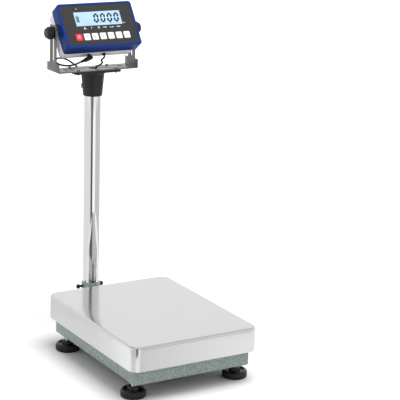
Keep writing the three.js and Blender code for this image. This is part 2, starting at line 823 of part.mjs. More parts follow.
function keyPlaces() {
  const names = ["power", "print", "count", "mode", "light", "tare", "zero"];
  const first = KEY.x - (KEY.pitch * (names.length - 1)) / 2;
  return names.map((name, i) => [name, first + i * KEY.pitch]);
}

function facePanel() {
  const keyHoles = keyPlaces().map(([, x]) =>
    facePlate(
      roundedRectangle(KEY.width + 2 * GAP, KEY.height + 2 * GAP, KEY.corner + GAP),
      panelFrontY - EXTRA,
      panelBackY + EXTRA,
      x,
      caseZ + KEY.z,
      ROUND.key,
    ),
  );
  const screenHole = facePlate(
    roundedRectangle(SCREEN.width + 2 * GAP, SCREEN.height + 2 * GAP, SCREEN.corner),
    panelFrontY - EXTRA,
    panelBackY + EXTRA,
    0,
    caseZ + SCREEN.z,
  );
  const sheet = roundedRectangle(panelWidth, panelHeight, PANEL.corner);
  return cut(
    facePlate(sheet, panelFrontY, panelBackY, 0, caseZ),
    ...keyHoles,
    screenHole,
  );
}

function key(x) {
  return facePlate(
    roundedRectangle(KEY.width, KEY.height, KEY.corner),
    panelFrontY - KEY.proud,
    panelFrontY - KEY.proud + KEY.depth,
    x,
    caseZ + KEY.z,
    ROUND.key,
  );
}

function lcdModule() {
  const { width, height, z, corner, frame, depth } = SCREEN;
  const back = panelBackY + GAP;
  const glass = roundedRectangle(width, height, corner);
  const body = roundedRectangle(width + 2 * frame, height + 2 * frame, corner);
  return join(
    facePlate(glass, panelFrontY, back + WELD, 0, caseZ + z),
    facePlate(body, back, back + depth, 0, caseZ + z),
  );
}

function circuitBoard() {
  const front = faceY + BOARD.behindFace;
  const back = front + BOARD.sheet;
  const parts = BOARD_PARTS.map(({ x, z, width, height, depth }) =>
    block(
      [x - width / 2, back - WELD, caseZ + z - height / 2],
      [x + width / 2, back + depth, caseZ + z + height / 2],
    ),
  );
  const board = roundedRectangle(BOARD.width, BOARD.height, BOARD.corner);
  return join(facePlate(board, front, back, 0, caseZ), ...parts);
}

function battery() {
  const back = backY - CASE.wall - GAP;
  return facePlate(
    roundedRectangle(BATTERY.width, BATTERY.height, BATTERY.corner),
    back - BATTERY.depth,
    back,
    BATTERY.x,
    caseZ,
  );
}

// The moulded plug under the housing, which slants down to the left as its lead does.
function leadPlug() {
  const { x, y, width, height, length, neck, drop, boot, bootLength, droop } = PLUG;
  const body = block([-length, -width / 2, -height], [0, width / 2, 0]);
  const relief = turned(
    [
      [0, -WELD],
      [boot + 0.4, -WELD],
      [boot, bootLength / 2],
      [LEAD.radius + 0.8, bootLength],
      [0, bootLength],
    ],
    ROUND.small,
  )
    .rotate([0, -90, 0])
    .translate([-length, 0, -height / 2]);
  const slanted = join(body, relief)
    .rotate([0, -droop, 0])
    .translate([x + width / 2, y, undersideZ - drop]);
  const stem = rod(neck, undersideZ - drop - height / 2, undersideZ + CASE.wall + GAP, x, y);
  return join(slanted, stem);
}

function leadGland() {
  const { x, y, nut, height, neck } = GLAND;
  const top = undersideZ - GAP;
  return join(
    hexagon(2 * nut, top - height / 2, top, x, y),
    turned(
      [
        [0, top - height],
        [LEAD.radius + 1, top - height],
        [nut - 1, top - height / 2],
        [neck, top],
        [neck, undersideZ + CASE.wall + GAP],
        [0, undersideZ + CASE.wall + GAP],
      ],
      ROUND.small,
    ).translate([x, y, 0]),
  );
}

function chargingSocket() {
  const { x, z, radius, hole, depth, end } = INLET;
  const mouth = backY - GAP;
  return cut(
    rodAlongY(radius, mouth - depth, mouth, x, caseZ + z, ROUND.middle),
    rodAlongY(hole, mouth - depth + end, mouth + EXTRA, x, caseZ + z),
  );
}

// ---------------------------------------------------------------- leads

// The plugged lead: out of the boot, round behind the left upright and into the column head's rear.
const PLUGGED_LEAD = [
  [-46.6, 183.8, 620.8],
  [-52.4, 183.1, 619],
  [-58.3, 187.1, 615.6],
  [-64.4, 196.7, 611.8],
  [-71.5, 210.1, 609.6],
  [-80.6, 222.5, 611],
  [-85.3, 231.5, 615.5],
  [-80, 238.5, 620.5],
  [-67, 242.5, 621],
  [-50, 246.5, 615.5],
  [-36.5, 251.5, 607.5],
  [-24, 255.5, 599],
  [-13, 257.5, 590.5],
  [-4, 255.5, 585],
  [0, 248.5, 584],
  [0, 241.5, 584],
  [0, 236, 584],
];
// The load cell's lead: out of the gland and down through the tray's middle hole into the column.
const CELL_LEAD = [
  [13, 190.3, 630.1],
  [12.7, 188.7, 627.9],
  [9.9, 187.2, 624.9],
  [5.9, 188.1, 621.8],
  [6.4, 190.7, 619],
  [9.2, 193.9, 616.8],
  [12.2, 197.5, 614.4],
  [14, 201.9, 611.6],
  [14.3, 206.7, 608.4],
  [12.6, 211.1, 605.2],
  [8.6, 215.1, 602.6],
  [5.7, 217.5, 598.4],
  [5.2, 218.4, 592],
  [4.5, 219, 585],
  [4.5, 219, 577.5],
  [4.5, 219, 570],
];

function lead(points) {
  const places = points.map((point) => new THREE.Vector3(...point));
  const route = new THREE.CatmullRomCurve3(places, false, "centripetal");
  const section = [];
  for (let i = 0; i < LEAD.sides; i++) {
    const angle = (i * 2 * Math.PI) / LEAD.sides;
    section.push(new THREE.Vector2(LEAD.radius * Math.cos(angle), LEAD.radius * Math.sin(angle)));
  }
  const steps = Math.round(route.getLength() / (2 * LEAD.radius * LEAD.diametersPerStep));
  const options = { steps, extrudePath: route, bevelEnabled: false };
  return solid(new THREE.ExtrudeGeometry(new THREE.Shape(section), options));
}

// ---------------------------------------------------------------- the assembly

const scale = new THREE.Group();
const platform = new THREE.Group(); // frames and pan, about the pan's middle
platform.position.y = panY;
const indicator = new THREE.Group(); // about the tilt pivot, with the face upright
indicator.position.set(0, columnY, pivotZ);
indicator.rotation.x = -TILT;
scale.add(platform, indicator);

function add(group, name, made, material) {
  const mesh = new THREE.Mesh(geometryOf(made), material.clone());
  mesh.name = name;
  group.add(mesh);
}

add(platform, "lower_frame", lowerFrame(), HAMMERTONE);
add(platform, "upper_frame", upperFrame(), HAMMERTONE);
add(platform, "load_cell", loadCell(), ALUMINIUM);
add(platform, "cell_shim_lower", shim(lowerShim, cellEndY), ZINC);
add(platform, "cell_shim_upper", shim(upperShim, -cellEndY), ZINC);
boltRow(cellEndY).forEach((y, i) => add(platform, `cell_bolt_lower_${i + 1}`, lowerCellBolt(y), ZINC));
boltRow(-cellEndY).forEach((y, i) => add(platform, `cell_bolt_upper_${i + 1}`, upperCellBolt(y), ZINC));
add(platform, "bubble_level", bubbleLevel(), LEVEL_BRASS);
add(platform, "pan", pan(), STAINLESS);
for (const [place, x, y] of fourCorners(stopX, stopY)) {
  add(platform, `overload_stop_${place}`, overloadStop(x, y), ZINC);
}
for (const [place, x, y] of fourCorners(padX, padY)) {
  add(platform, `pan_pad_${place}`, panPad(x, y), RUBBER);
}
for (const [place, x, y] of fourCorners(footX, footY)) {
  add(platform, `foot_${place}`, levellingFoot(x, y), BLACK_PLASTIC);
  add(platform, `foot_locknut_${place}`, footLocknut(x, y), ZINC);
}

add(scale, "column_bracket", columnBracket(), HAMMERTONE);
add(scale, "bracket_bolt_left", bracketBolt(-ARM.boltX), ZINC);
add(scale, "bracket_bolt_right", bracketBolt(ARM.boltX), ZINC);
add(scale, "clamp_screw_left", clampScrew(-1, CLAMP_SCREW_OUT.left), BLACK_OXIDE);
add(scale, "clamp_screw_right", clampScrew(1, CLAMP_SCREW_OUT.right), BLACK_OXIDE);
add(scale, "column_tube", columnTube(), POLISHED);
add(scale, "column_head", columnHead(), BLACK_PLASTIC);
add(scale, "head_screw", headScrew(), CHROME);
add(scale, "indicator_bracket", indicatorBracket(), BLACK_STEEL);
for (const [place, x, y] of fourCorners(TRAY_SCREW.x, TRAY_SCREW.y)) {
  add(scale, `tray_screw_${place}`, trayScrew(x, y), CHROME);
}

add(indicator, "tilt_knob_left", tiltKnob(-1), BLACK_PLASTIC);
add(indicator, "tilt_knob_right", tiltKnob(1), BLACK_PLASTIC);
add(indicator, "front_bezel", frontBezel(), BLUE_PLASTIC);
add(indicator, "rear_housing", rearHousing(), GREY_PLASTIC);
add(indicator, "face_panel", facePanel(), MEMBRANE);
for (const [name, x] of keyPlaces()) {
  add(indicator, `key_${name}`, key(x), name === "power" ? RED_KEY : WHITE_KEY);
}
add(indicator, "lcd_module", lcdModule(), SCREEN_BLUE);
add(indicator, "circuit_board", circuitBoard(), BOARD_GREEN);
add(indicator, "battery", battery(), BATTERY_WRAP);
add(indicator, "lead_plug", leadPlug(), BLACK_PLASTIC);
add(indicator, "lead_gland", leadGland(), BLACK_PLASTIC);
add(indicator, "charging_socket", chargingSocket(), BLACK_PLASTIC);

add(scale, "plugged_lead", lead(PLUGGED_LEAD), CORD_BLACK);
add(scale, "cell_lead", lead(CELL_LEAD), CORD_BLACK);

export default scale;
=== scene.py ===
import json
import math

import bmesh
import bpy
from mathutils import Matrix, Vector


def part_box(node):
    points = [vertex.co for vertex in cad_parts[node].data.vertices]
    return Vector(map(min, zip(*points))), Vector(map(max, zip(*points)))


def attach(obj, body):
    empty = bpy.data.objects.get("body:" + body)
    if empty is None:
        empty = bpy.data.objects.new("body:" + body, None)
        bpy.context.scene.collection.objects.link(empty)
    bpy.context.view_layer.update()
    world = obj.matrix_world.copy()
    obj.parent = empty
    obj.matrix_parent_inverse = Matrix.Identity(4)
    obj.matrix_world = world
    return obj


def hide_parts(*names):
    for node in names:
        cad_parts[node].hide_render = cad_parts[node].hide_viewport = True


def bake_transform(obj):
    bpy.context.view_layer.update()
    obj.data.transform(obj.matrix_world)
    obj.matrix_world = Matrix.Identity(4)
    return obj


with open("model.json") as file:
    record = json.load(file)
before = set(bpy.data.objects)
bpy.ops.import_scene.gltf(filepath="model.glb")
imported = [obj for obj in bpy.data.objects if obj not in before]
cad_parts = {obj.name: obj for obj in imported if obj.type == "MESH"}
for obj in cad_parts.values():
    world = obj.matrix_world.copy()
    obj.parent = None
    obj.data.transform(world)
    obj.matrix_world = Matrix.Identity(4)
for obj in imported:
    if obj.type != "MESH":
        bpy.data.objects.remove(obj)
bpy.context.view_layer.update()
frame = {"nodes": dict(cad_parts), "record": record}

bl_info = {
    "name": "Bench Scale",
    "version": (1, 0, 0),
    "blender": (4, 5, 0),
    "location": "3D View > Sidebar > Bench Scale",
    "description": "Builds the visible pieces of a platform bench scale around its packed frame",
    "category": "Object",
}

MM = 0.001

RECORD = frame["record"]
BODY_OF = {
    node: body
    for body, nodes in RECORD["behaviour"]["bodies"].items()
    for node in nodes
}
JOINTS = {joint["name"]: joint for joint in RECORD["behaviour"]["joints"]}
CORNERS = ("front_left", "front_right", "rear_left", "rear_right")
KEYS = ("power", "print", "count", "mode", "light", "tare", "zero")

# The indicator's own frame: x to the right, y into the face, z up the face, from the tilt pivot.
PIVOT = Vector(JOINTS["indicator_tilt"]["pos_m"]) / MM
INWARD = Vector(JOINTS["key_power_press"]["axis"]).normalized()
UP_FACE = Vector((1, 0, 0)).cross(INWARD)
TILTED = Matrix.Translation(PIVOT) @ Matrix(
    ((1, 0, 0), tuple(INWARD), tuple(UP_FACE))
).transposed().to_4x4()


def span(node):
    """A node's lowest and highest corners, in millimetres."""
    low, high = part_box(node)
    return Vector(low) / MM, Vector(high) / MM


def tilted_span(node):
    """A node's lowest and highest corners in the indicator's own frame, in millimetres."""
    back = TILTED.inverted()
    points = [back @ (vertex.co / MM) for vertex in frame["nodes"][node].data.vertices]
    return (
        Vector([min(point[i] for point in points) for i in range(3)]),
        Vector([max(point[i] for point in points) for i in range(3)]),
    )


def linear(code):
    """An sRGB hex colour as linear red, green, blue and alpha."""
    values = [int(code[i : i + 2], 16) / 255 for i in (1, 3, 5)]
    return (
        *[v / 12.92 if v <= 0.04045 else ((v + 0.055) / 1.055) ** 2.4 for v in values],
        1.0,
    )


# ------------------------------------------------------------------ settings


class BenchScaleColours(bpy.types.PropertyGroup):
    """Colours of the finishes that a maker offers in more than one colour."""

    bezel: bpy.props.FloatVectorProperty(
        name="Bezel",
        description="Colour of the moulded front bezel",
        default=linear("#042664"),
        size=4,
        min=0,
        max=1,
        subtype="COLOR",
    )
    housing: bpy.props.FloatVectorProperty(
        name="Housing",
        description="Colour of the moulded rear housing",
        default=linear("#d6d6da"),
        size=4,
        min=0,
        max=1,
        subtype="COLOR",
    )
    overlay: bpy.props.FloatVectorProperty(
        name="Overlay",
        description="Colour printed behind the face's clear film",
        default=linear("#232324"),
        size=4,
        min=0,
        max=1,
        subtype="COLOR",
    )
    display: bpy.props.FloatVectorProperty(
        name="Display",
        description="Colour of the lit display",
        default=linear("#a1c1d6"),
        size=4,
        min=0,
        max=1,
        subtype="COLOR",
    )
    enamel: bpy.props.FloatVectorProperty(
        name="Frame enamel",
        description="Colour of the frame's hammertone enamel",
        default=linear("#7b8a82"),
        size=4,
        min=0,
        max=1,
        subtype="COLOR",
    )


class BenchScaleSizes(bpy.types.PropertyGroup):
    """Sizes of the details that the frame doesn't fix."""

    pan_bend: bpy.props.FloatProperty(
        name="Pan bend",
        description="Outside radius of the bend between the pan's top and its skirt",
        default=4 * MM,
        min=1 * MM,
        max=10 * MM,
        unit="LENGTH",
    )
    pan_corner: bpy.props.FloatProperty(
        name="Pan corner",
        description="Radius of the pan's four upright corners",
        default=22 * MM,
        min=6 * MM,
        max=60 * MM,
        unit="LENGTH",
    )
    pan_sheet: bpy.props.FloatProperty(
        name="Pan sheet",
        description="Thickness of the pan's stainless sheet",
        default=1.2 * MM,
        min=0.6 * MM,
        max=3 * MM,
        unit="LENGTH",
    )
    foot_ribs: bpy.props.IntProperty(
        name="Foot ribs",
        description="Grip ribs round a levelling foot",
        default=36,
        min=12,
        max=60,
    )
    knob_lobes: bpy.props.IntProperty(
        name="Knob lobes",
        description="Grip lobes round a tilt knob",
        default=14,
        min=6,
        max=24,
    )
    digit_height: bpy.props.FloatProperty(
        name="Digit height",
        description="Height of the display's digits",
        default=22.5 * MM,
        min=10 * MM,
        max=28 * MM,
        unit="LENGTH",
    )
    digit_pitch: bpy.props.FloatProperty(
        name="Digit pitch",
        description="Distance from one digit to the next",
        default=16.4 * MM,
        min=8 * MM,
        max=20 * MM,
        unit="LENGTH",
    )
    floor_radius: bpy.props.FloatProperty(
        name="Floor radius",
        description="Radius of the studio floor",
        default=0.53,
        min=0.5,
        max=5,
        unit="LENGTH",
    )


# ------------------------------------------------------------------ outlines and shapes
# A shape is a list of points in millimetres and a list of faces.


def rectangle(width, height, radius, steps=8, x=0.0, y=0.0):
    """Points round a rectangle with rounded corners, anticlockwise."""
    radius = max(0.02, min(radius, width / 2 - 0.01, height / 2 - 0.01))
    points = []
    for corner, (sx, sy) in enumerate(((1, 1), (-1, 1), (-1, -1), (1, -1))):
        for step in range(steps + 1):
            angle = (corner + step / steps) * math.pi / 2
            points.append(
                (
                    x + sx * (width / 2 - radius) + radius * math.cos(angle),
                    y + sy * (height / 2 - radius) + radius * math.sin(angle),
                )
            )
    return points


def soften(points, radius, steps=4, closed=False):
    """The same path with its corners rounded. radius is one number, or one for each point."""
    radii = radius if isinstance(radius, (list, tuple)) else [radius] * len(points)
    made = []
    for i, point in enumerate(points):
        ends = not closed and i in (0, len(points) - 1)
        if ends or radii[i] <= 0:
            made.append(tuple(point))
            continue
        p = Vector(point)
        before = Vector(points[i - 1]) - p
        after = Vector(points[(i + 1) % len(points)]) - p
        start = p + before.normalized() * min(radii[i], before.length * 0.48)
        end = p + after.normalized() * min(radii[i], after.length * 0.48)
        for step in range(steps + 1):
            t = step / steps
            made.append(
                tuple((1 - t) ** 2 * start + 2 * (1 - t) * t * p + t**2 * end)
            )
    return made


def loft(rings, loop=False, caps=True):
    """A skin over rings that hold the same number of points."""
    count = len(rings[0])
    points = [tuple(point) for ring in rings for point in ring]
    faces = []
    for i in range(len(rings) if loop else len(rings) - 1):
        low, high = i * count, ((i + 1) % len(rings)) * count
        for j in range(count):
            k = (j + 1) % count
            faces.append((low + j, low + k, high + k, high + j))
    if caps and not loop:
        faces.append(tuple(range(count))[::-1])
        faces.append(tuple(range(len(points) - count, len(points))))
    return points, faces


def together(*shapes):
    """Several shapes as one."""
    points, faces = [], []
    for more_points, more_faces in shapes:
        start = len(points)
        points += list(more_points)
        faces += [tuple(i + start for i in face) for face in more_faces]
    return points, faces


def moved(shape, matrix):
    """The shape carried by a matrix."""
    points, faces = shape
    return [tuple(matrix @ Vector(point)) for point in points], faces


def circle(radius, z, sides, reach=None):
    """A ring about Z. reach gives a radius for each angle instead of one radius."""
    points = []
    for i in range(sides):
        angle = 2 * math.pi * i / sides
        r = reach(angle) if reach else radius
        points.append((r * math.cos(angle), r * math.sin(angle), z))
    return points


def turned(profile, sides=64, loop=False):
    """A turned shape about Z from radius and height pairs."""
    rings = [circle(r, z, sides) for r, z in profile if r > 0]
    return loft(rings, loop=loop)


def folded(profile, start, end):
    """A sheet's or bar's section in Y and Z, closed, made long in X."""
    return loft([[(x, y, z) for y, z in profile] for x in (start, end)])


def slab(outline, low, high, edge=0.0, steps=2):
    """An outline in X and Y made thick in Z, with its edges rounded towards the outline's middle."""
    if edge <= 0:
        return loft([[(x, y, z) for x, y in outline] for z in (low, high)])
    middle_x = sum(x for x, _ in outline) / len(outline)
    middle_y = sum(y for _, y in outline) / len(outline)
    half_x = max(abs(x - middle_x) for x, _ in outline)
    half_y = max(abs(y - middle_y) for _, y in outline)
    rings = []
    for end, way in ((low, 1), (high, -1)):
        turns = range(steps + 1) if way > 0 else range(steps, -1, -1)
        for step in turns:
            angle = step / steps * math.pi / 2
            inset = edge * (1 - math.sin(angle))
            z = end + way * edge * (1 - math.cos(angle))
            rings.append(
                [
                    (
                        middle_x + (x - middle_x) * (1 - inset / half_x),
                        middle_y + (y - middle_y) * (1 - inset / half_y),
                        z,
                    )
                    for x, y in outline
                ]
            )
    return loft(rings)


def hexagon_reach(flats):
    """How far a hexagon of that size across its flats reaches at each angle."""
    return lambda angle: flats / 2 / math.cos((angle + math.pi / 6) % (math.pi / 3) - math.pi / 6)


def hexagon(flats, low, high, chamfer_low=True, chamfer_high=True, sides=72):
    """A hexagon head or nut with the usual 30 degree chamfers."""
    reach = hexagon_reach(flats)
    face = 0.475 * flats
    drop = lambda angle: (reach(angle) - face) * math.tan(math.radians(30))
    angles = [2 * math.pi * i / sides for i in range(sides)]
    walls = [(reach(a) * math.cos(a), reach(a) * math.sin(a), drop(a)) for a in angles]
    low_ring = [(x, y, low + (d if chamfer_low else 0)) for x, y, d in walls]
    high_ring = [(x, y, high - (d if chamfer_high else 0)) for x, y, d in walls]
    rings = [low_ring, high_ring]
    if chamfer_low:
        rings.insert(0, circle(face, low, sides))
    if chamfer_high:
        rings.append(circle(face, high, sides))
    return loft(rings)


def screw_thread(radius, low, high, pitch, sides=24):
    """A shaft with a helical thread."""
    depth = 0.54 * pitch
    rows = max(2, int((high - low) / pitch * 6))
    rings = [circle(radius - depth, low, sides)]
    for row in range(rows + 1):
        z = low + 0.3 * pitch + (high - low - 0.6 * pitch) * row / rows
        fade = min(1.0, (z - low) / pitch, (high - z) / pitch)
        ring = []
        for i in range(sides):
            phase = (z / pitch - i / sides) % 1
            crest = 1 - abs(2 * phase - 1)
            r = radius - depth * (1 - max(0.0, min(1.0, 1.3 * crest - 0.1)) * fade)
            angle = 2 * math.pi * i / sides
            ring.append((r * math.cos(angle), r * math.sin(angle), z))
        rings.append(ring)
    rings.append(circle(radius - depth, high, sides))
    return loft(rings)


def smooth_route(points, per=8):
    """A centripetal Catmull-Rom curve through the points."""
    places = [Vector(p) for p in points]
    places = [2 * places[0] - places[1], *places, 2 * places[-1] - places[-2]]
    route = []
    for i in range(1, len(places) - 2):
        p0, p1, p2, p3 = places[i - 1 : i + 3]
        t = [0.0]
        for a, b in ((p0, p1), (p1, p2), (p2, p3)):
            t.append(t[-1] + max(1e-6, (b - a).length) ** 0.5)
        for step in range(per):
            u = t[1] + (t[2] - t[1]) * step / per
            a1 = p0.lerp(p1, (u - t[0]) / (t[1] - t[0]))
            a2 = p1.lerp(p2, (u - t[1]) / (t[2] - t[1]))
            a3 = p2.lerp(p3, (u - t[2]) / (t[3] - t[2]))
            b1 = a1.lerp(a2, (u - t[0]) / (t[2] - t[0]))
            b2 = a2.lerp(a3, (u - t[1]) / (t[3] - t[1]))
            route.append(b1.lerp(b2, (u - t[1]) / (t[2] - t[1])))
    route.append(places[-2])
    return route


def tube(route, radius, sides=16):
    """A round skin along a route. radius is a number, or a function of the distance gone."""
    route = [Vector(p) for p in route]
    rings = []
    gone = 0.0
    side = None
    for i, point in enumerate(route):
        ahead = route[min(i + 1, len(route) - 1)] - route[max(i - 1, 0)]
        ahead.normalize()
        if side is None:
            side = ahead.orthogonal().normalized()
        side = (side - ahead * side.dot(ahead)).normalized()
        other = ahead.cross(side)
        if i:
            gone += (point - route[i - 1]).length
        r = radius(gone) if callable(radius) else radius
        rings.append(
            [
                tuple(
                    point
                    + r * math.cos(2 * math.pi * j / sides) * side
                    + r * math.sin(2 * math.pi * j / sides) * other
                )
                for j in range(sides)
            ]
        )
    return loft(rings)


def weld_bead(start, end, radius=1.8):
    """A rippled weld bead in a straight line."""
    a, b = Vector(start), Vector(end)
    steps = max(8, int((b - a).length / 0.7))
    route = [a.lerp(b, i / steps) for i in range(steps + 1)]
    length = (b - a).length

    def ripple(gone):
        taper = min(1.0, (gone + 0.4) / 2.5, (length - gone + 0.4) / 2.5)
        return radius * taper * (1 + 0.13 * math.sin(2 * math.pi * gone / 2.1))

    return tube(route, ripple, sides=8)


# ------------------------------------------------------------------ pieces from shapes


def make_piece(name, shape, finish, matrix=None, sharp=32.0):
    """An object with the shape's mesh, smooth except at edges sharper than that angle."""
    points, faces = shape
    mesh = bpy.data.meshes.new(name)
    mesh.from_pydata([Vector(p) for p in points], [], faces)
    work = bmesh.new()
    work.from_mesh(mesh)
    bmesh.ops.recalc_face_normals(work, faces=work.faces)
    work.to_mesh(mesh)
    work.free()
    if matrix is not None:
        mesh.transform(matrix)
    mesh.transform(Matrix.Scale(MM, 4))
    piece = bpy.data.objects.new(name, mesh)
    bpy.context.scene.collection.objects.link(piece)
    mesh.materials.append(finish)
    shade(piece, sharp)
    return piece


def shade(piece, sharp=32.0):
    """Smooth shading, with the piece's sharp edges kept sharp."""
    piece.data.shade_smooth()
    piece.data.set_sharp_from_angle(angle=math.radians(sharp))


def apply_modifiers(piece):
    """The piece's modifiers become its mesh."""
    bpy.context.view_layer.update()
    evaluated = piece.evaluated_get(bpy.context.evaluated_depsgraph_get())
    done = bpy.data.meshes.new_from_object(evaluated)
    old = piece.data
    piece.modifiers.clear()
    piece.data = done
    done.name = piece.name
    bpy.data.meshes.remove(old)


def cut_away(piece, shape, operation="DIFFERENCE"):
    """The piece with the shape, in millimetres, cut from it or joined to it."""
    tool = make_piece(piece.name + "_tool", shape, piece.data.materials[0])
    cutter = piece.modifiers.new("cut", "BOOLEAN")
    cutter.operation = operation
    cutter.solver = "EXACT"
    cutter.use_self = True
    cutter.object = tool
    apply_modifiers(piece)
    mesh = tool.data
    bpy.data.objects.remove(tool)
    bpy.data.meshes.remove(mesh)


def round_edges(piece, width, segments=2, angle=40.0, sharp=32.0):
    """The piece with its sharp edges rounded."""
    bevel = piece.modifiers.new("edges", "BEVEL")
    bevel.width = width * MM
    bevel.segments = segments
    bevel.limit_method = "ANGLE"
    bevel.angle_limit = math.radians(angle)
    apply_modifiers(piece)
    shade(piece, sharp)


def stand_for(piece, *nodes, body=None):
    """The piece takes the place of these nodes of the frame, on their body."""
    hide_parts(*nodes)
    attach(piece, body or BODY_OF[nodes[0]])


def add_to(piece, node):
    """A further piece on the same body as the node."""
    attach(piece, BODY_OF[node])


def flat_plate(name, outlines, finish, thickness, matrix, sharp=32.0):
    """A plate from an outline and the holes in it, in X and Y, standing up from z = 0."""
    curve = bpy.data.curves.new(name, "CURVE")
    curve.dimensions = "2D"
    curve.fill_mode = "BOTH"
    curve.extrude = thickness / 2
    for outline in outlines:
        spline = curve.splines.new("POLY")
        spline.points.add(len(outline) - 1)
        for point, (x, y) in zip(spline.points, outline):
            point.co = (x, y, 0, 1)
        spline.use_cyclic_u = True
    holder = bpy.data.objects.new(name + "_outline", curve)
    bpy.context.scene.collection.objects.link(holder)
    bpy.context.view_layer.update()
    evaluated = holder.evaluated_get(bpy.context.evaluated_depsgraph_get())
    mesh = bpy.data.meshes.new_from_object(evaluated)
    bpy.data.objects.remove(holder)
    bpy.data.curves.remove(curve)
    mesh.transform(Matrix.Translation((0, 0, thickness / 2)))
    mesh.transform(matrix)
    mesh.transform(Matrix.Scale(MM, 4))
    mesh.materials.clear()
    mesh.materials.append(finish)
    mesh.name = name
    work = bmesh.new()
    work.from_mesh(mesh)
    bmesh.ops.remove_doubles(work, verts=work.verts, dist=1e-7)
    bmesh.ops.recalc_face_normals(work, faces=work.faces)
    work.to_mesh(mesh)
    work.free()
    piece = bpy.data.objects.new(name, mesh)
    bpy.context.scene.collection.objects.link(piece)
    shade(piece, sharp)
    return piece


# ------------------------------------------------------------------ finishes


def add_node(tree, kind, inputs=None, **settings):
    """Adds a shader node. inputs holds a value, or a socket to link, for each input named."""
    made = tree.nodes.new(kind)
    for name, value in settings.items():
        setattr(made, name, value)
    for name, value in (inputs or {}).items():
        if isinstance(value, bpy.types.NodeSocket):
            tree.links.new(value, made.inputs[name])
        else:
            made.inputs[name].default_value = value
    return made


def new_finish(name, **inputs):
    """A material and its shader, with the shader's uniform values set."""
    material = bpy.data.materials.new(name)
    material.use_nodes = True
    tree = material.node_tree
    shader = tree.nodes["Principled BSDF"]
    for socket, value in inputs.items():
        shader.inputs[socket.replace("_", " ")].default_value = value
    return material, tree, shader


def place_of(tree, x=1.0, y=1.0, z=1.0):
    """Object coordinates, stretched so that one unit is x, y and z millimetres."""
    where = add_node(tree, "ShaderNodeTexCoord")
    return add_node(
        tree,
        "ShaderNodeMapping",
        {"Vector": where.outputs["Object"], "Scale": (1 / (x * MM), 1 / (y * MM), 1 / (z * MM))},
    ).outputs["Vector"]


def vary(tree, shader, socket, factor, stops, interpolation="LINEAR"):
    """A ramp from the factor to the shader's socket. stops are positions with a colour or a number."""
    ramp = add_node(tree, "ShaderNodeValToRGB", {"Fac": factor})
    ramp.color_ramp.interpolation = interpolation
    while len(ramp.color_ramp.elements) < len(stops):
        ramp.color_ramp.elements.new(0.5)
    for element, (position, value) in zip(ramp.color_ramp.elements, stops):
        element.position = position
        element.color = value if isinstance(value, tuple) else (value, value, value, 1)
    tree.links.new(ramp.outputs["Color"], shader.inputs[socket])
    return ramp


def darker(colour, share):
    """The colour with its light scaled by the share."""
    return (*[min(1.0, c * share) for c in colour[:3]], 1.0)


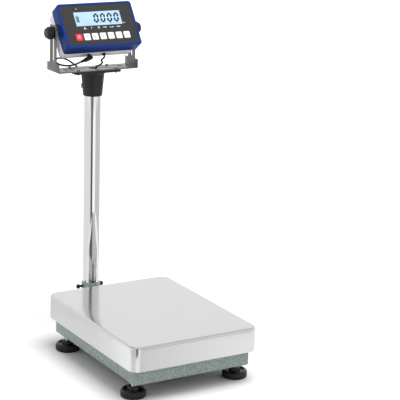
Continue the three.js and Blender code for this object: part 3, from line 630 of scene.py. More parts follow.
def brushed_stainless():
    """Brushed 304 stainless sheet, pressed. Long fine scratches run the length of the pan, and blur reflections across
    them. Skin oils leave soft dull patches. The skirts carry painted reflections: upright bands of painted light and
    shade in the base colour."""
    material, tree, shader = new_finish(
        "Brushed 304 stainless sheet", Metallic=1.0, Anisotropic=0.25
    )
    # The real scratches are 0.05 mm apart; they are drawn 0.35 mm apart so that they show.
    scratches = add_node(
        tree,
        "ShaderNodeTexNoise",
        {"Vector": place_of(tree, 0.35, 90, 0.35), "Scale": 1.0, "Detail": 4.0, "Roughness": 0.6},
    )
    patches = add_node(
        tree,
        "ShaderNodeTexNoise",
        {"Vector": place_of(tree, 60, 60, 60), "Scale": 1.0, "Detail": 3.0},
    )
    both = add_node(
        tree,
        "ShaderNodeMath",
        {0: scratches.outputs["Fac"], 1: patches.outputs["Fac"]},
        operation="ADD",
    )
    half = add_node(tree, "ShaderNodeMath", {0: both.outputs[0], 1: 0.5}, operation="MULTIPLY")
    steel = linear("#c3c3c4")
    vary(tree, shader, "Roughness", half.outputs[0], [(0.3, 0.105), (0.7, 0.175)])
    # Painted reflections on the skirts: a ramp of painted light and shade in the base colour, in lighter and darker
    # upright bands laid out by their distance (x minus y) from the front left corner.
    place = add_node(tree, "ShaderNodeTexCoord")
    split = add_node(tree, "ShaderNodeSeparateXYZ", {"Vector": place.outputs["Object"]})
    from_corner = add_node(
        tree,
        "ShaderNodeMath",
        {0: split.outputs["X"], 1: split.outputs["Y"]},
        operation="SUBTRACT",
    )
    low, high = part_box("pan")
    corner = low[0] - low[1]
    reach = 0.32
    # A ramp's colours stop at 1, so the painted shades are held as shares of the brightest.
    brightest = 1.4
    painted_shade_place = add_node(
        tree,
        "ShaderNodeMapRange",
        {"Value": from_corner.outputs[0], "From Min": corner - reach, "From Max": corner + reach},
    )
    # Shares of painted light and shade across the skirts, by distance from the front left corner: painted reflections.
    shades = [
        (-0.32, 1.06),
        (-0.2, 1.03),
        (-0.1, 1.12),
        (-0.03, 1.3),
        (-0.014, 1.34),
        (-0.006, 0.9),
        (0.002, 0.92),
        (0.009, 1.3),
        (0.019, 0.84),
        (0.035, 0.9),
        (0.13, 1.0),
        (0.2, 1.08),
        (0.3, 1.14),
    ]
    painted_shade_ramp = add_node(tree, "ShaderNodeValToRGB", {"Fac": painted_shade_place.outputs[0]})
    while len(painted_shade_ramp.color_ramp.elements) < len(shades):
        painted_shade_ramp.color_ramp.elements.new(0.5)
    for element, (distance, value) in zip(painted_shade_ramp.color_ramp.elements, shades):
        element.position = (distance + reach) / (2 * reach)
        element.color = (value / brightest, value / brightest, value / brightest, 1)
    # The painted reflections are kept to the upright skirts; the top keeps one even share.
    facing = add_node(tree, "ShaderNodeNewGeometry")
    upward = add_node(tree, "ShaderNodeSeparateXYZ", {"Vector": facing.outputs["Normal"]})
    on_top = add_node(
        tree,
        "ShaderNodeMapRange",
        {"Value": upward.outputs["Z"], "From Min": 0.25, "From Max": 0.6},
    )
    # Painted shade on the skirts, mixed with the top's even share.
    stroke = add_node(tree, "ShaderNodeMix", {"Factor": on_top.outputs[0]}, data_type="RGBA")
    tree.links.new(painted_shade_ramp.outputs["Color"], stroke.inputs[6])
    stroke.inputs[7].default_value = (1 / brightest, 1 / brightest, 1 / brightest, 1)
    grain = add_node(tree, "ShaderNodeValToRGB", {"Fac": half.outputs[0]})
    grain.color_ramp.elements[0].position, grain.color_ramp.elements[1].position = 0.3, 0.7
    grain.color_ramp.elements[0].color = darker(steel, 0.955 * brightest)
    grain.color_ramp.elements[1].color = darker(steel, brightest)
    # The grain's colour times the painted shade.
    tinted = add_node(
        tree,
        "ShaderNodeVectorMath",
        {0: grain.outputs["Color"], 1: stroke.outputs[2]},
        operation="MULTIPLY",
    )
    tree.links.new(tinted.outputs[0], shader.inputs["Base Color"])
    relief = add_node(
        tree,
        "ShaderNodeBump",
        {"Height": scratches.outputs["Fac"], "Strength": 0.05, "Distance": 0.004 * MM},
    )
    tree.links.new(relief.outputs["Normal"], shader.inputs["Normal"])
    return material


def polished_tube():
    """Mirror-polished 304 tube. It reflects its surroundings in stripes, with faint rings left by
    the polishing belt."""
    material, tree, shader = new_finish("Polished 304 tube", Metallic=1.0)
    rings = add_node(
        tree,
        "ShaderNodeTexNoise",
        {"Vector": place_of(tree, 40, 40, 0.8), "Scale": 1.0, "Detail": 4.0},
    )
    steel = linear("#d8d9da")
    vary(tree, shader, "Base Color", rings.outputs["Fac"], [(0.3, darker(steel, 0.96)), (0.7, steel)])
    vary(tree, shader, "Roughness", rings.outputs["Fac"], [(0.3, 0.035), (0.7, 0.075)])
    return material


def hammertone_enamel(colours):
    """Hammertone enamel on steel. Solvent craters about 2 mm across dimple the film and gather
    its aluminium flake, so the surface looks beaten and speckled."""
    material, tree, shader = new_finish("Hammertone enamel", Metallic=0.22, Coat_Weight=0.25)
    shader.inputs["Coat Roughness"].default_value = 0.2
    place = place_of(tree, 2, 2, 2)
    warp = add_node(
        tree, "ShaderNodeTexNoise", {"Vector": place, "Scale": 0.7, "Detail": 2.0}
    )
    bent = add_node(
        tree,
        "ShaderNodeVectorMath",
        {0: place, 1: warp.outputs["Color"]},
        operation="ADD",
    )
    craters = add_node(
        tree,
        "ShaderNodeTexVoronoi",
        {"Vector": bent.outputs[0], "Scale": 1.0},
        feature="SMOOTH_F1",
    )
    flake = add_node(
        tree,
        "ShaderNodeTexNoise",
        {"Vector": place_of(tree, 1.3, 1.3, 1.3), "Scale": 1.0, "Detail": 3.0, "Roughness": 0.7},
    )
    mixed = add_node(
        tree,
        "ShaderNodeMath",
        {0: craters.outputs["Distance"], 1: flake.outputs["Fac"]},
        operation="MULTIPLY",
    )
    enamel = tuple(colours.enamel)
    vary(
        tree,
        shader,
        "Base Color",
        mixed.outputs[0],
        [(0.05, darker(enamel, 1.75)), (0.2, enamel), (0.36, darker(enamel, 0.45))],
    )
    vary(tree, shader, "Roughness", mixed.outputs[0], [(0.1, 0.34), (0.4, 0.55)])
    relief = add_node(
        tree,
        "ShaderNodeBump",
        {"Height": craters.outputs["Distance"], "Strength": 0.5, "Distance": 0.12 * MM},
    )
    tree.links.new(relief.outputs["Normal"], shader.inputs["Normal"])
    return material


def moulded_plastic(name, colour, roughness, grain, relief_mm, ior=1.54):
    """An injection moulding. The tool's spark-eroded texture leaves a fine grain, and the
    flow leaves faint cloudy patches of gloss."""
    material, tree, shader = new_finish(name, IOR=ior)
    texture = add_node(
        tree,
        "ShaderNodeTexNoise",
        {"Vector": place_of(tree, grain, grain, grain), "Scale": 1.0, "Detail": 3.0},
    )
    flow = add_node(
        tree,
        "ShaderNodeTexNoise",
        {"Vector": place_of(tree, 25, 25, 25), "Scale": 1.0, "Detail": 2.0},
    )
    vary(
        tree,
        shader,
        "Base Color",
        texture.outputs["Fac"],
        [(0.35, darker(colour, 0.94)), (0.65, darker(colour, 1.05))],
    )
    vary(
        tree,
        shader,
        "Roughness",
        flow.outputs["Fac"],
        [(0.3, roughness * 0.88), (0.7, min(1.0, roughness * 1.15))],
    )
    relief = add_node(
        tree,
        "ShaderNodeBump",
        {"Height": texture.outputs["Fac"], "Strength": 0.3, "Distance": relief_mm * MM},
    )
    tree.links.new(relief.outputs["Normal"], shader.inputs["Normal"])
    return material


def powder_coat():
    """Black powder coat on folded steel. The powder melts into a skin with a faint orange-peel
    ripple about 1.2 mm across, glossy at low angles."""
    material, tree, shader = new_finish("Black powder coat", IOR=1.5, Coat_Weight=0.35)
    shader.inputs["Coat Roughness"].default_value = 0.22
    peel = add_node(
        tree,
        "ShaderNodeTexNoise",
        {"Vector": place_of(tree, 1.2, 1.2, 1.2), "Scale": 1.0, "Detail": 2.0},
    )
    black = linear("#4a4a4c")
    vary(tree, shader, "Base Color", peel.outputs["Fac"], [(0.3, darker(black, 0.9)), (0.7, black)])
    vary(tree, shader, "Roughness", peel.outputs["Fac"], [(0.3, 0.34), (0.7, 0.46)])
    relief = add_node(
        tree,
        "ShaderNodeBump",
        {"Height": peel.outputs["Fac"], "Strength": 0.35, "Distance": 0.03 * MM},
    )
    tree.links.new(relief.outputs["Normal"], shader.inputs["Normal"])
    return material


def plated_metal(name, code, low, high, grain):
    """A plated or bare metal. Crystals or tool marks of that size in millimetres change its gloss
    a little from place to place."""
    material, tree, shader = new_finish(name, Metallic=1.0)
    marks = add_node(
        tree,
        "ShaderNodeTexNoise",
        {"Vector": place_of(tree, grain, grain, grain), "Scale": 1.0, "Detail": 4.0},
    )
    metal = linear(code)
    vary(tree, shader, "Base Color", marks.outputs["Fac"], [(0.3, darker(metal, 0.88)), (0.7, metal)])
    vary(tree, shader, "Roughness", marks.outputs["Fac"], [(0.3, low), (0.7, high)])
    return material


def printed_film(name, colour, roughness=0.5):
    """Polyester film, printed on its back. Its matt front has a fine velvet texture that
    scatters light and hides finger marks."""
    material, tree, shader = new_finish(name, IOR=1.36)
    velvet = add_node(
        tree,
        "ShaderNodeTexNoise",
        {"Vector": place_of(tree, 0.3, 0.3, 0.3), "Scale": 1.0, "Detail": 2.0},
    )
    vary(
        tree,
        shader,
        "Base Color",
        velvet.outputs["Fac"],
        [(0.3, darker(colour, 0.95)), (0.7, darker(colour, 1.05))],
    )
    vary(tree, shader, "Roughness", velvet.outputs["Fac"], [(0.3, roughness - 0.05), (0.7, roughness + 0.07)])
    return material


def lit_display(colours):
    """A backlit liquid crystal display. The light spreads through an acrylic guide, a little uneven from place to
    place, behind glass with a polariser."""
    colour = tuple(colours.display)
    material, tree, shader = new_finish("Backlit display glass", IOR=1.52, Coat_Weight=0.4)
    shader.inputs["Roughness"].default_value = 0.18
    shader.inputs["Emission Strength"].default_value = 0.45
    spread = add_node(
        tree,
        "ShaderNodeTexNoise",
        {"Vector": place_of(tree, 45, 45, 45), "Scale": 1.0, "Detail": 1.0},
    )
    shades = [(0.3, darker(colour, 0.92)), (0.7, darker(colour, 1.06))]
    vary(tree, shader, "Base Color", spread.outputs["Fac"], [(p, darker(c, 0.45)) for p, c in shades])
    vary(tree, shader, "Emission Color", spread.outputs["Fac"], shades)
    return material


def board_laminate():
    """Glass-epoxy laminate under a green solder mask, with a faint woven ripple of 0.6 mm."""
    material, tree, shader = new_finish("Solder-masked laminate", IOR=1.55)
    shader.inputs["Roughness"].default_value = 0.3
    weave = add_node(
        tree,
        "ShaderNodeTexWave",
        {"Vector": place_of(tree, 0.6, 0.6, 0.6), "Scale": 1.0, "Distortion": 1.0},
    )
    green = linear("#1f5a39")
    vary(tree, shader, "Base Color", weave.outputs["Fac"], [(0.2, darker(green, 0.85)), (0.8, green)])
    return material


def level_fluid():
    """Tinted spirit under a clear acrylic lens, glossy and slightly deep."""
    material, tree, shader = new_finish(
        "Tinted spirit under acrylic", IOR=1.49, Coat_Weight=1.0, Roughness=0.08
    )
    depth = add_node(
        tree,
        "ShaderNodeTexNoise",
        {"Vector": place_of(tree, 8, 8, 8), "Scale": 1.0, "Detail": 1.0},
    )
    green = linear("#b6dc3a")
    vary(tree, shader, "Base Color", depth.outputs["Fac"], [(0.3, darker(green, 0.9)), (0.7, green)])
    return material


def studio_paper():
    """Matt white background paper, with a faint fibre mottle."""
    material, tree, shader = new_finish("White background paper", IOR=1.5)
    shader.inputs["Roughness"].default_value = 0.9
    fibre = add_node(
        tree,
        "ShaderNodeTexNoise",
        {"Vector": place_of(tree, 3, 3, 3), "Scale": 1.0, "Detail": 3.0},
    )
    white = linear("#cfcfcf")
    vary(tree, shader, "Base Color", fibre.outputs["Fac"], [(0.3, darker(white, 0.985)), (0.7, white)])
    return material


FINISHES = {}


def make_finishes(colours):
    """Every finish of the scale, by a short name."""
    FINISHES.update(
        pan=brushed_stainless(),
        tube=polished_tube(),
        enamel=hammertone_enamel(colours),
        bezel=moulded_plastic("Moulded blue ABS", tuple(colours.bezel), 0.33, 0.25, 0.006, 1.22),
        housing=moulded_plastic("Moulded grey ABS", tuple(colours.housing), 0.42, 0.35, 0.012),
        black=moulded_plastic("Moulded black nylon", linear("#0b0b0c"), 0.36, 0.4, 0.015, 1.42),
        head=moulded_plastic("Cast nylon column head", linear("#131314"), 0.5, 0.6, 0.02, 1.4),
        coat=powder_coat(),
        zinc=plated_metal("Bright zinc plate on steel", "#cdd0d6", 0.16, 0.34, 0.5),
        chrome=plated_metal("Chrome plate on steel", "#dfe1e4", 0.04, 0.1, 1.5),
        nickel=plated_metal("Nickel plate on steel", "#8d8f93", 0.12, 0.26, 0.5),
        oxide=plated_metal("Black oxide on steel", "#37373a", 0.3, 0.45, 0.3),
        aluminium=plated_metal("Milled and anodised aluminium", "#c9cbcf", 0.28, 0.42, 0.7),
        brass=plated_metal("Turned brass", "#cbb37a", 0.18, 0.3, 0.4),
        rubber=moulded_plastic("Moulded nitrile rubber", linear("#161617"), 0.7, 0.5, 0.02, 1.52),
        jacket=moulded_plastic("Extruded PVC lead jacket", linear("#0f0f10"), 0.42, 0.3, 0.008, 1.53),
        sealant=moulded_plastic("Cast silicone sealant", linear("#d9dbd8"), 0.45, 1.5, 0.03, 1.41),
        overlay=printed_film("Dark printed polyester", tuple(colours.overlay)),
        white_key=printed_film("White printed polyester", linear("#b4b4b2"), 0.42),
        red_key=printed_film("Red printed polyester", linear("#c2222b"), 0.42),
        white_ink=printed_film("White screen ink", linear("#bdbdbd"), 0.45),
        grey_ink=printed_film("Grey screen ink", linear("#3c3f43"), 0.45),
        display=lit_display(colours),
        segment=printed_film("Dark liquid crystal segment", linear("#06192c"), 0.3),
        board=board_laminate(),
        wrap=moulded_plastic("Heat-shrunk PVC wrap", linear("#2c4f86"), 0.28, 2.0, 0.02, 1.53),
        fluid=level_fluid(),
        paper=studio_paper(),
    )


# ------------------------------------------------------------------ platform


def sheet_tray(width, depth, section, corner, middle, steps=14):
    """A folded tray: a section of inset and height pairs carried round a rounded rectangle."""
    rings = []
    for inset, z in section:
        outline = rectangle(
            width - 2 * inset, depth - 2 * inset, max(corner - inset, 1.0), steps
        )
        rings.append([(middle.x + x, middle.y + y, z) for x, y in outline])
    return rings


def build_pan(sizes):
    """The pressed pan, open below, with a soft bend all round its top."""
    low, high = span("pan")
    sheet, bend = sizes.pan_sheet / MM, sizes.pan_bend / MM
    reach = 26.0
    section = soften(
        [
            (reach, high.z),
            (0, high.z),
            (0, low.z),
            (sheet, low.z),
            (sheet, high.z - sheet),
            (reach, high.z - sheet),
        ],
        [0, 1.4 * bend, 0.4, 0.4, 1.4 * (bend - sheet), 0],
        8,
    )
    rings = sheet_tray(
        high.x - low.x, high.y - low.y, section, sizes.pan_corner / MM, (low + high) / 2
    )
    pan = make_piece("pan_sheet", loft(rings), FINISHES["pan"])
    stand_for(pan, "pan")


def build_pads():
    """Rubber pads on the upper frame, each with a stem that plugs into its rail."""
    for corner in CORNERS:
        node = f"pan_pad_{corner}"
        low, high = span(node)
        middle = (low + high) / 2
        radius = (high.x - low.x) / 2
        seat = span("upper_frame")[1].z + 0.3
        profile = soften(
            [(0, low.z), (4, low.z), (4, seat), (radius, seat), (radius, high.z), (3, high.z), (2.4, high.z - 1)],
            [0, 1, 0.2, 0.6, 1.2, 0.5, 0],
        )
        shape = moved(turned(profile, 40), Matrix.Translation((middle.x, middle.y, 0)))
        stand_for(make_piece(node + "_rubber", shape, FINISHES["rubber"]), node)


def rail_ring(node, rail, corner, edge):
    """A ring of rectangular steel tube, mitred and welded at its corners."""
    low, high = span(node)
    section = soften([(0, low.z), (0, high.z), (rail, high.z), (rail, low.z)], edge, 4, closed=True)
    rings = []
    for inset, z in section:
        outline = rectangle(
            high.x - low.x - 2 * inset, high.y - low.y - 2 * inset, max(corner - inset, 1.2), 10
        )
        rings.append([((low.x + high.x) / 2 + x, (low.y + high.y) / 2 + y, z) for x, y in outline])
    inner_x = (high.x - low.x) / 2 - rail
    inner_y = (high.y - low.y) / 2 - rail
    middle_y = (low.y + high.y) / 2
    beads = [
        weld_bead((sx * inner_x, middle_y + sy * inner_y, low.z + 2), (sx * inner_x, middle_y + sy * inner_y, high.z - 2))
        for sx in (-1, 1)
        for sy in (-1, 1)
    ]
    return together(loft(rings, loop=True), *beads)


def build_frame(node, rail, corner, edge, plate_middle, plate_top):
    """A ring of steel tube with a thick plate welded across it that one end of the load cell is
    bolted to."""
    low, high = span(node)
    inner = (high.x - low.x) / 2 - rail
    middle_y = (low.y + high.y) / 2
    front, back = middle_y + plate_middle - 35, middle_y + plate_middle + 35
    section = [(front, plate_top - 8), (front, plate_top), (back, plate_top), (back, plate_top - 8)]
    plate = folded(soften(section, 0.8, 2, closed=True), -inner - 0.5, inner + 0.5)
    beads = []
    for side in (-1, 1):
        for z in (plate_top, plate_top - 8):
            beads.append(weld_bead((side * inner, front + 3, z), (side * inner, back - 3, z)))
    shape = together(rail_ring(node, rail, corner, edge), plate, *beads)
    stand_for(make_piece(node + "_enamelled", shape, FINISHES["enamel"]), node)


def build_frames():
    """The lower frame of 40 by 30 tube, and the upper frame of 20 mm tube."""
    under_cell = span("cell_shim_lower")[0].z - 0.3
    over_cell = span("cell_shim_upper")[1].z + 0.3 + 8
    build_frame("lower_frame", 30, 6, 2.4, 55, under_cell)
    build_frame("upper_frame", 20, 8, 1.8, -55, over_cell)


def hex_bolt(node, flats, head, radius, pitch, head_up, finish):
    """A hexagon-head bolt that stands along Z in its node's place."""
    low, high = span(node)
    middle = (low + high) / 2
    if head_up:
        shape = together(
            hexagon(flats, high.z - head, high.z, chamfer_low=False),
            screw_thread(radius, low.z, high.z - head, pitch),
        )
    else:
        shape = together(
            hexagon(flats, low.z, low.z + head, chamfer_high=False),
            screw_thread(radius, low.z + head, high.z, pitch),
        )
    shape = moved(shape, Matrix.Translation((middle.x, middle.y, 0)))
    stand_for(make_piece(node + "_steel", shape, FINISHES[finish]), node)


def build_load_cell():
    """The load cell: a milled bar with a double eye, sealed with silicone over its gauges."""
    low, high = span("load_cell")
    middle = (low + high) / 2
    outline = rectangle(high.x - low.x, high.y - low.y, 1.2, 3, middle.x, middle.y)
    cell = make_piece("load_cell_bar", slab(outline, low.z, high.z, 0.8), FINISHES["aluminium"])
    across = Matrix.Rotation(math.radians(90), 4, "Y")
    reach, eye, spread, slot = 20.0, 9.0, 16.0, 3.0
    for y in (-spread, spread):
        drill = moved(
            turned([(eye, -reach), (eye, reach)], 48),
            Matrix.Translation((middle.x, middle.y + y, middle.z)) @ across,
        )
        cut_away(cell, drill)
    groove = folded(
        [
            (middle.y - spread, middle.z - slot),
            (middle.y + spread, middle.z - slot),
            (middle.y + spread, middle.z + slot),
            (middle.y - spread, middle.z + slot),
        ],
        -reach,
        reach,
    )
    cut_away(cell, groove)
    round_edges(cell, 0.35)
    stand_for(cell, "load_cell")
    plugs = []
    for y in (-spread, spread):
        crown = soften([(0, -7), (eye - 0.15, -7), (eye - 0.15, 7), (0, 7)], 1.6)
        plugs.append(
            moved(
                turned([(max(r, 0.5), z) for r, z in crown], 40),
                Matrix.Translation((middle.x, middle.y + y, middle.z)) @ across,
            )
        )
    add_to(make_piece("load_cell_sealant", together(*plugs), FINISHES["sealant"]), "load_cell")


def build_cell_fixings():
    """Bolts through the load cell's two ends, the shims under them and the overload stops."""
    for i in (1, 2):
        hex_bolt(f"cell_bolt_lower_{i}", 13, 5.3, 4, 1.25, False, "zinc")
        hex_bolt(f"cell_bolt_upper_{i}", 13, 5.3, 4, 1.25, True, "zinc")
    for corner in CORNERS:
        hex_bolt(f"overload_stop_{corner}", 13, 5.3, 4, 1.25, True, "zinc")
    for node in ("cell_shim_lower", "cell_shim_upper"):
        low, high = span(node)
        middle = (low + high) / 2
        outline = rectangle(high.x - low.x, high.y - low.y, 1.5, 3, middle.x, middle.y)
        plate = make_piece(node + "_plate", slab(outline, low.z, high.z, 0.4), FINISHES["zinc"])
        stand_for(plate, node)


def build_bubble_level():
    """A round bubble level: a brass cup, tinted spirit under a lens, and a dark ring mark on the lens."""
    low, high = span("bubble_level")
    middle = (low + high) / 2
    place = Matrix.Translation((middle.x, middle.y, 0))
    radius = (high.x - low.x) / 2
    cup = soften(
        [(radius, low.z), (radius, high.z), (radius - 2, high.z), (radius - 2.4, high.z - 1.6), (radius - 2.4, low.z)],
        [0.3, 0.8, 0.4, 0.2, 0],
        4,
        closed=True,
    )
    brass = make_piece("bubble_level_cup", moved(turned(cup, 48, loop=True), place), FINISHES["brass"])
    stand_for(brass, "bubble_level")
    lens = [(radius - 2.4, low.z + 0.2), (radius - 2.4, high.z - 1.4), (4, high.z - 0.9), (1, high.z - 0.75)]
    add_to(make_piece("bubble_level_lens", moved(turned(lens, 48), place), FINISHES["fluid"]), "bubble_level")
    mark = [(2.5, high.z - 0.8), (2.5, high.z - 0.62), (2.1, high.z - 0.62), (2.1, high.z - 0.8)]
    ring = make_piece("bubble_level_ring", moved(turned(mark, 40, loop=True), place), FINISHES["oxide"])
    add_to(ring, "bubble_level")


# ------------------------------------------------------------------ feet


def build_feet(sizes):
    """Levelling feet: a ribbed nylon foot moulded round a threaded stud, and its locknut."""
    ribs = sizes.foot_ribs
    sides = ribs * 8
    depth = 0.9
    for corner in CORNERS:
        node = f"foot_{corner}"
        low, high = span(node)
        middle = (low + high) / 2
        radius = (high.x - low.x) / 2
        place = Matrix.Translation((middle.x, middle.y, 0))
        profile = soften(
            [
                (22, 0),
                (radius - 1.4, 0),
                (radius - 0.9, 1.6),
                (radius, 2.2),
                (radius, 12.6),
                (radius - 0.9, 13.3),
                (radius - 3.4, 15.9),
                (20.3, 16),
                (19.2, 13.2),
                (13.4, 13),
                (12.4, 14),
                (11.6, 21.8),
                (6.2, 22),
                (5.4, 21.2),
            ],
            [0, 0.7, 0.3, 0.3, 0.3, 0.4, 0.9, 0.6, 0.6, 0.8, 0.6, 1, 0.3, 0],
            3,
        )
        rings = []
        for r, z in profile:
            cut = depth if r > radius - 0.25 else 0.0
            rings.append(
                circle(r, z, sides, lambda a, r=r, cut=cut: r - cut * (0.5 + 0.5 * math.cos(ribs * a)) ** 2)
            )
        foot = make_piece(node + "_nylon", moved(loft(rings), place), FINISHES["black"], sharp=40)
        stand_for(foot, node)
        stud = moved(screw_thread(5, 15, high.z, 1.5), place)
        add_to(make_piece(node + "_stud", stud, FINISHES["zinc"], sharp=50), node)
        nut_node = f"foot_locknut_{corner}"
        nut_low, nut_high = span(nut_node)
        nut = moved(hexagon(17, nut_low.z, nut_high.z), place)
        stand_for(make_piece(nut_node + "_steel", nut, FINISHES["zinc"]), nut_node)


# ------------------------------------------------------------------ column


def build_column_bracket():
    """The column's bracket: a plate, an inverted channel and a clamping sleeve, welded and
    enamelled with the frame."""
    low, high = span("column_bracket")
    axis = Vector(JOINTS["column_turn"]["pos_m"]) / MM
    arm_top = (span("bracket_bolt_left")[0].z + span("bracket_bolt_left")[1].z) - low.z
    plate, sheet, half = 4.0, 3.0, 24.0
    sleeve_outer, sleeve_inner = 21.5, 19.3
    back = Matrix.Rotation(math.radians(90), 4, "X")
    outline = rectangle(high.x - low.x, arm_top - low.z, 3, 4, 0, (low.z + arm_top) / 2)
    flange = moved(slab(outline, -low.y - plate, -low.y, 0.6), back)
    section = soften(
        [
            (-half, low.z),
            (-half, arm_top),
            (half, arm_top),
            (half, low.z),
            (half - sheet, low.z),
            (half - sheet, arm_top - sheet),
            (sheet - half, arm_top - sheet),
            (sheet - half, low.z),
        ],
        [0.3, 4.5, 4.5, 0.3, 0.3, 2, 2, 0.3],
        5,
        closed=True,
    )
    channel = loft([[(x, y, z) for x, z in section] for y in (low.y + plate - 0.5, axis.y - 17)])
    sleeve_section = soften(
        [(sleeve_inner, low.z + 3), (sleeve_inner, high.z), (sleeve_outer, high.z), (sleeve_outer, low.z), (6, low.z), (6, low.z + 3)],
        [0.3, 0.5, 0.7, 0.7, 0.3, 0.3],
        4,
        closed=True,
    )
    sleeve = moved(turned(sleeve_section, 96, loop=True), Matrix.Translation((0, axis.y, 0)))
    beads = []
    for side in (-1, 1):
        beads.append(weld_bead((side * half, low.y + plate, low.z + 3), (side * half, low.y + plate, arm_top - 5)))
    beads.append(weld_bead((4.5 - half, low.y + plate, arm_top), (half - 4.5, low.y + plate, arm_top)))
    seam = [
        (
            (sleeve_outer + 0.3) * math.cos(math.radians(a)),
            axis.y + (sleeve_outer + 0.3) * math.sin(math.radians(a)),
            arm_top - 0.3,
        )
        for a in range(195, 346, 3)
    ]
    beads.append(tube(seam, lambda gone: 1.6 * (1 + 0.13 * math.sin(gone * 3)), 8))
    shape = together(flange, channel, sleeve, *beads)
    stand_for(make_piece("column_bracket_enamelled", shape, FINISHES["enamel"]), "column_bracket")
    for side in ("left", "right"):
        node = f"bracket_bolt_{side}"
        bolt_low, bolt_high = span(node)
        middle = (bolt_low + bolt_high) / 2
        length = bolt_high.y - bolt_low.y
        bolt = together(
            screw_thread(4, 5.3 - length, 0, 1.25),
            hexagon(13, 0, 5.3, chamfer_low=False),
        )
        matrix = Matrix.Translation((middle.x, bolt_high.y - 5.3, middle.z)) @ Matrix.Rotation(
            math.radians(-90), 4, "X"
        )
        stand_for(make_piece(node + "_steel", moved(bolt, matrix), FINISHES["zinc"]), node)


def build_clamp_screws():
    """Socket-head screws in the sleeve's sides that grip the column, black oxide finished."""
    for side, way in (("left", -1), ("right", 1)):
        node = f"clamp_screw_{side}"
        low, high = span(node)
        middle = (low + high) / 2
        length = high.x - low.x
        head, radius, key = 6.0, 5.0, 5.0
        start = length - head
        knurl = lambda a: radius - 0.22 * (0.5 + 0.5 * math.cos(36 * a))
        socket = hexagon_reach(key)
        sides = 144
        rings = [
            circle(radius - 0.6, start, sides),
            circle(radius, start + 0.5, sides, knurl),
            circle(radius, length - 0.9, sides, knurl),
            circle(radius - 0.7, length, sides),
            circle(0, length, sides, lambda a: socket(a) + 0.25),
            circle(0, length - 0.3, sides, socket),
            circle(0, length - 4, sides, socket),
        ]
        screw = together(loft(rings), screw_thread(3, 0, start + 0.4, 1.0))
        foot = low.x if way > 0 else high.x
        matrix = Matrix.Translation((foot, middle.y, middle.z)) @ Matrix.Rotation(
            math.radians(90 * way), 4, "Y"
        )
        stand_for(make_piece(node + "_steel", moved(screw, matrix), FINISHES["oxide"], sharp=45), node)


def build_column_tube():
    """The column: a drawn and polished stainless tube with deburred ends."""
    low, high = span("column_tube")
    middle = (low + high) / 2
    radius, wall = (high.x - low.x) / 2, 1.5
    section = soften(
        [(radius, low.z), (radius, high.z), (radius - wall, high.z), (radius - wall, low.z)],
        0.3,
        2,
        closed=True,
    )
    shape = moved(turned(section, 128, loop=True), Matrix.Translation((middle.x, middle.y, 0)))
    stand_for(make_piece("column_tube_polished", shape, FINISHES["tube"]), "column_tube")


def build_column_head():
    """The column head: a tapered nylon collar with a flange that the tray is screwed to, a
    domed screw in its side and a rubber grommet for the lead behind."""
    low, high = span("column_head")
    middle = (low + high) / 2
    tube_top = span("column_tube")[1].z
    bottom, top, bore, flange = 21.5, 26.0, 15.0, 5.0
    under = high.z - flange
    section = soften(
        [
            (19.4, low.z),
            (bottom, low.z),
            (top - 0.3, under - 5),
            (top + 3, under + 0.4),
            (bore, under + 0.4),
            (bore, tube_top + 0.3),
            (19.4, tube_top + 0.3),
        ],
        [0.4, 1.4, 2.5, 0, 0, 0.4, 0.4],
        5,
        closed=True,
    )
    place = Matrix.Translation((middle.x, middle.y, 0))
    head = make_piece("column_head_moulded", moved(turned(section, 96, loop=True), place), FINISHES["head"])
    plate = slab(rectangle(high.x - low.x, high.y - low.y, 6, 8), under, high.z, 0.9)
    cut_away(head, moved(plate, place), "UNION")
    cut_away(head, moved(turned([(bore, under - 3), (bore, high.z + 2)], 64), place))
    port_z = tube_top + 6
    behind = Matrix.Translation((middle.x, middle.y, port_z)) @ Matrix.Rotation(math.radians(-90), 4, "X")
    cut_away(head, moved(turned([(3.3, 10), (3.3, 40)], 32), behind))
    shade(head)
    stand_for(head, "column_head")
    lip = soften([(2.15, 23), (4.6, 23), (4.6, 27.6), (3.6, 28.2), (2.15, 28.2)], [0.2, 0.2, 1.2, 0.6, 0.5], 4, closed=True)
    grommet = moved(turned(lip, 32, loop=True), behind)
    add_to(make_piece("column_head_grommet", grommet, FINISHES["rubber"]), "column_head")


def cross_recess(size, depth, top):
    """The cross-shaped cutter for a recessed screw head, pointing down from top."""
    arms = []
    for turn in (0, 90):
        bar = slab(rectangle(size, size * 0.26, size * 0.1, 3), top - depth, top + 2)
        arms.append(moved(bar, Matrix.Rotation(math.radians(turn), 4, "Z")))
    return arms


def build_head_screw():
    """The domed chromed screw that locks the head on the column."""
    low, high = span("head_screw")
    axis = Vector(JOINTS["column_turn"]["pos_m"]) / MM
    middle_z = (low.z + high.z) / 2
    reach = max(
        math.hypot(v.co.x / MM - axis.x, v.co.y / MM - axis.y)
        for v in frame["nodes"]["head_screw"].data.vertices
    )
    radius, dome = (high.z - low.z) / 2, 4.0
    seat = reach - dome
    profile = soften(
        [(3, 19.4), (3, seat), (radius, seat), (radius, seat + 1.1), (0.72 * radius, seat + 3.2), (0.6, seat + dome)],
        [0, 0, 0.3, 1.2, 2.2, 0],
        5,
    )
    matrix = (
        Matrix.Translation((axis.x, axis.y, middle_z))
        @ Matrix.Rotation(math.radians(135), 4, "Z")
        @ Matrix.Rotation(math.radians(90), 4, "Y")
    )
    screw = make_piece("head_screw_chromed", turned(profile, 48), FINISHES["chrome"])
    for arm in cross_recess(5.2, 2.0, seat + dome):
        cut_away(screw, arm)
    screw.data.transform(Matrix.Scale(MM, 4) @ matrix @ Matrix.Scale(1 / MM, 4))
    shade(screw)
    stand_for(screw, "head_screw")


# ------------------------------------------------------------------ indicator bracket


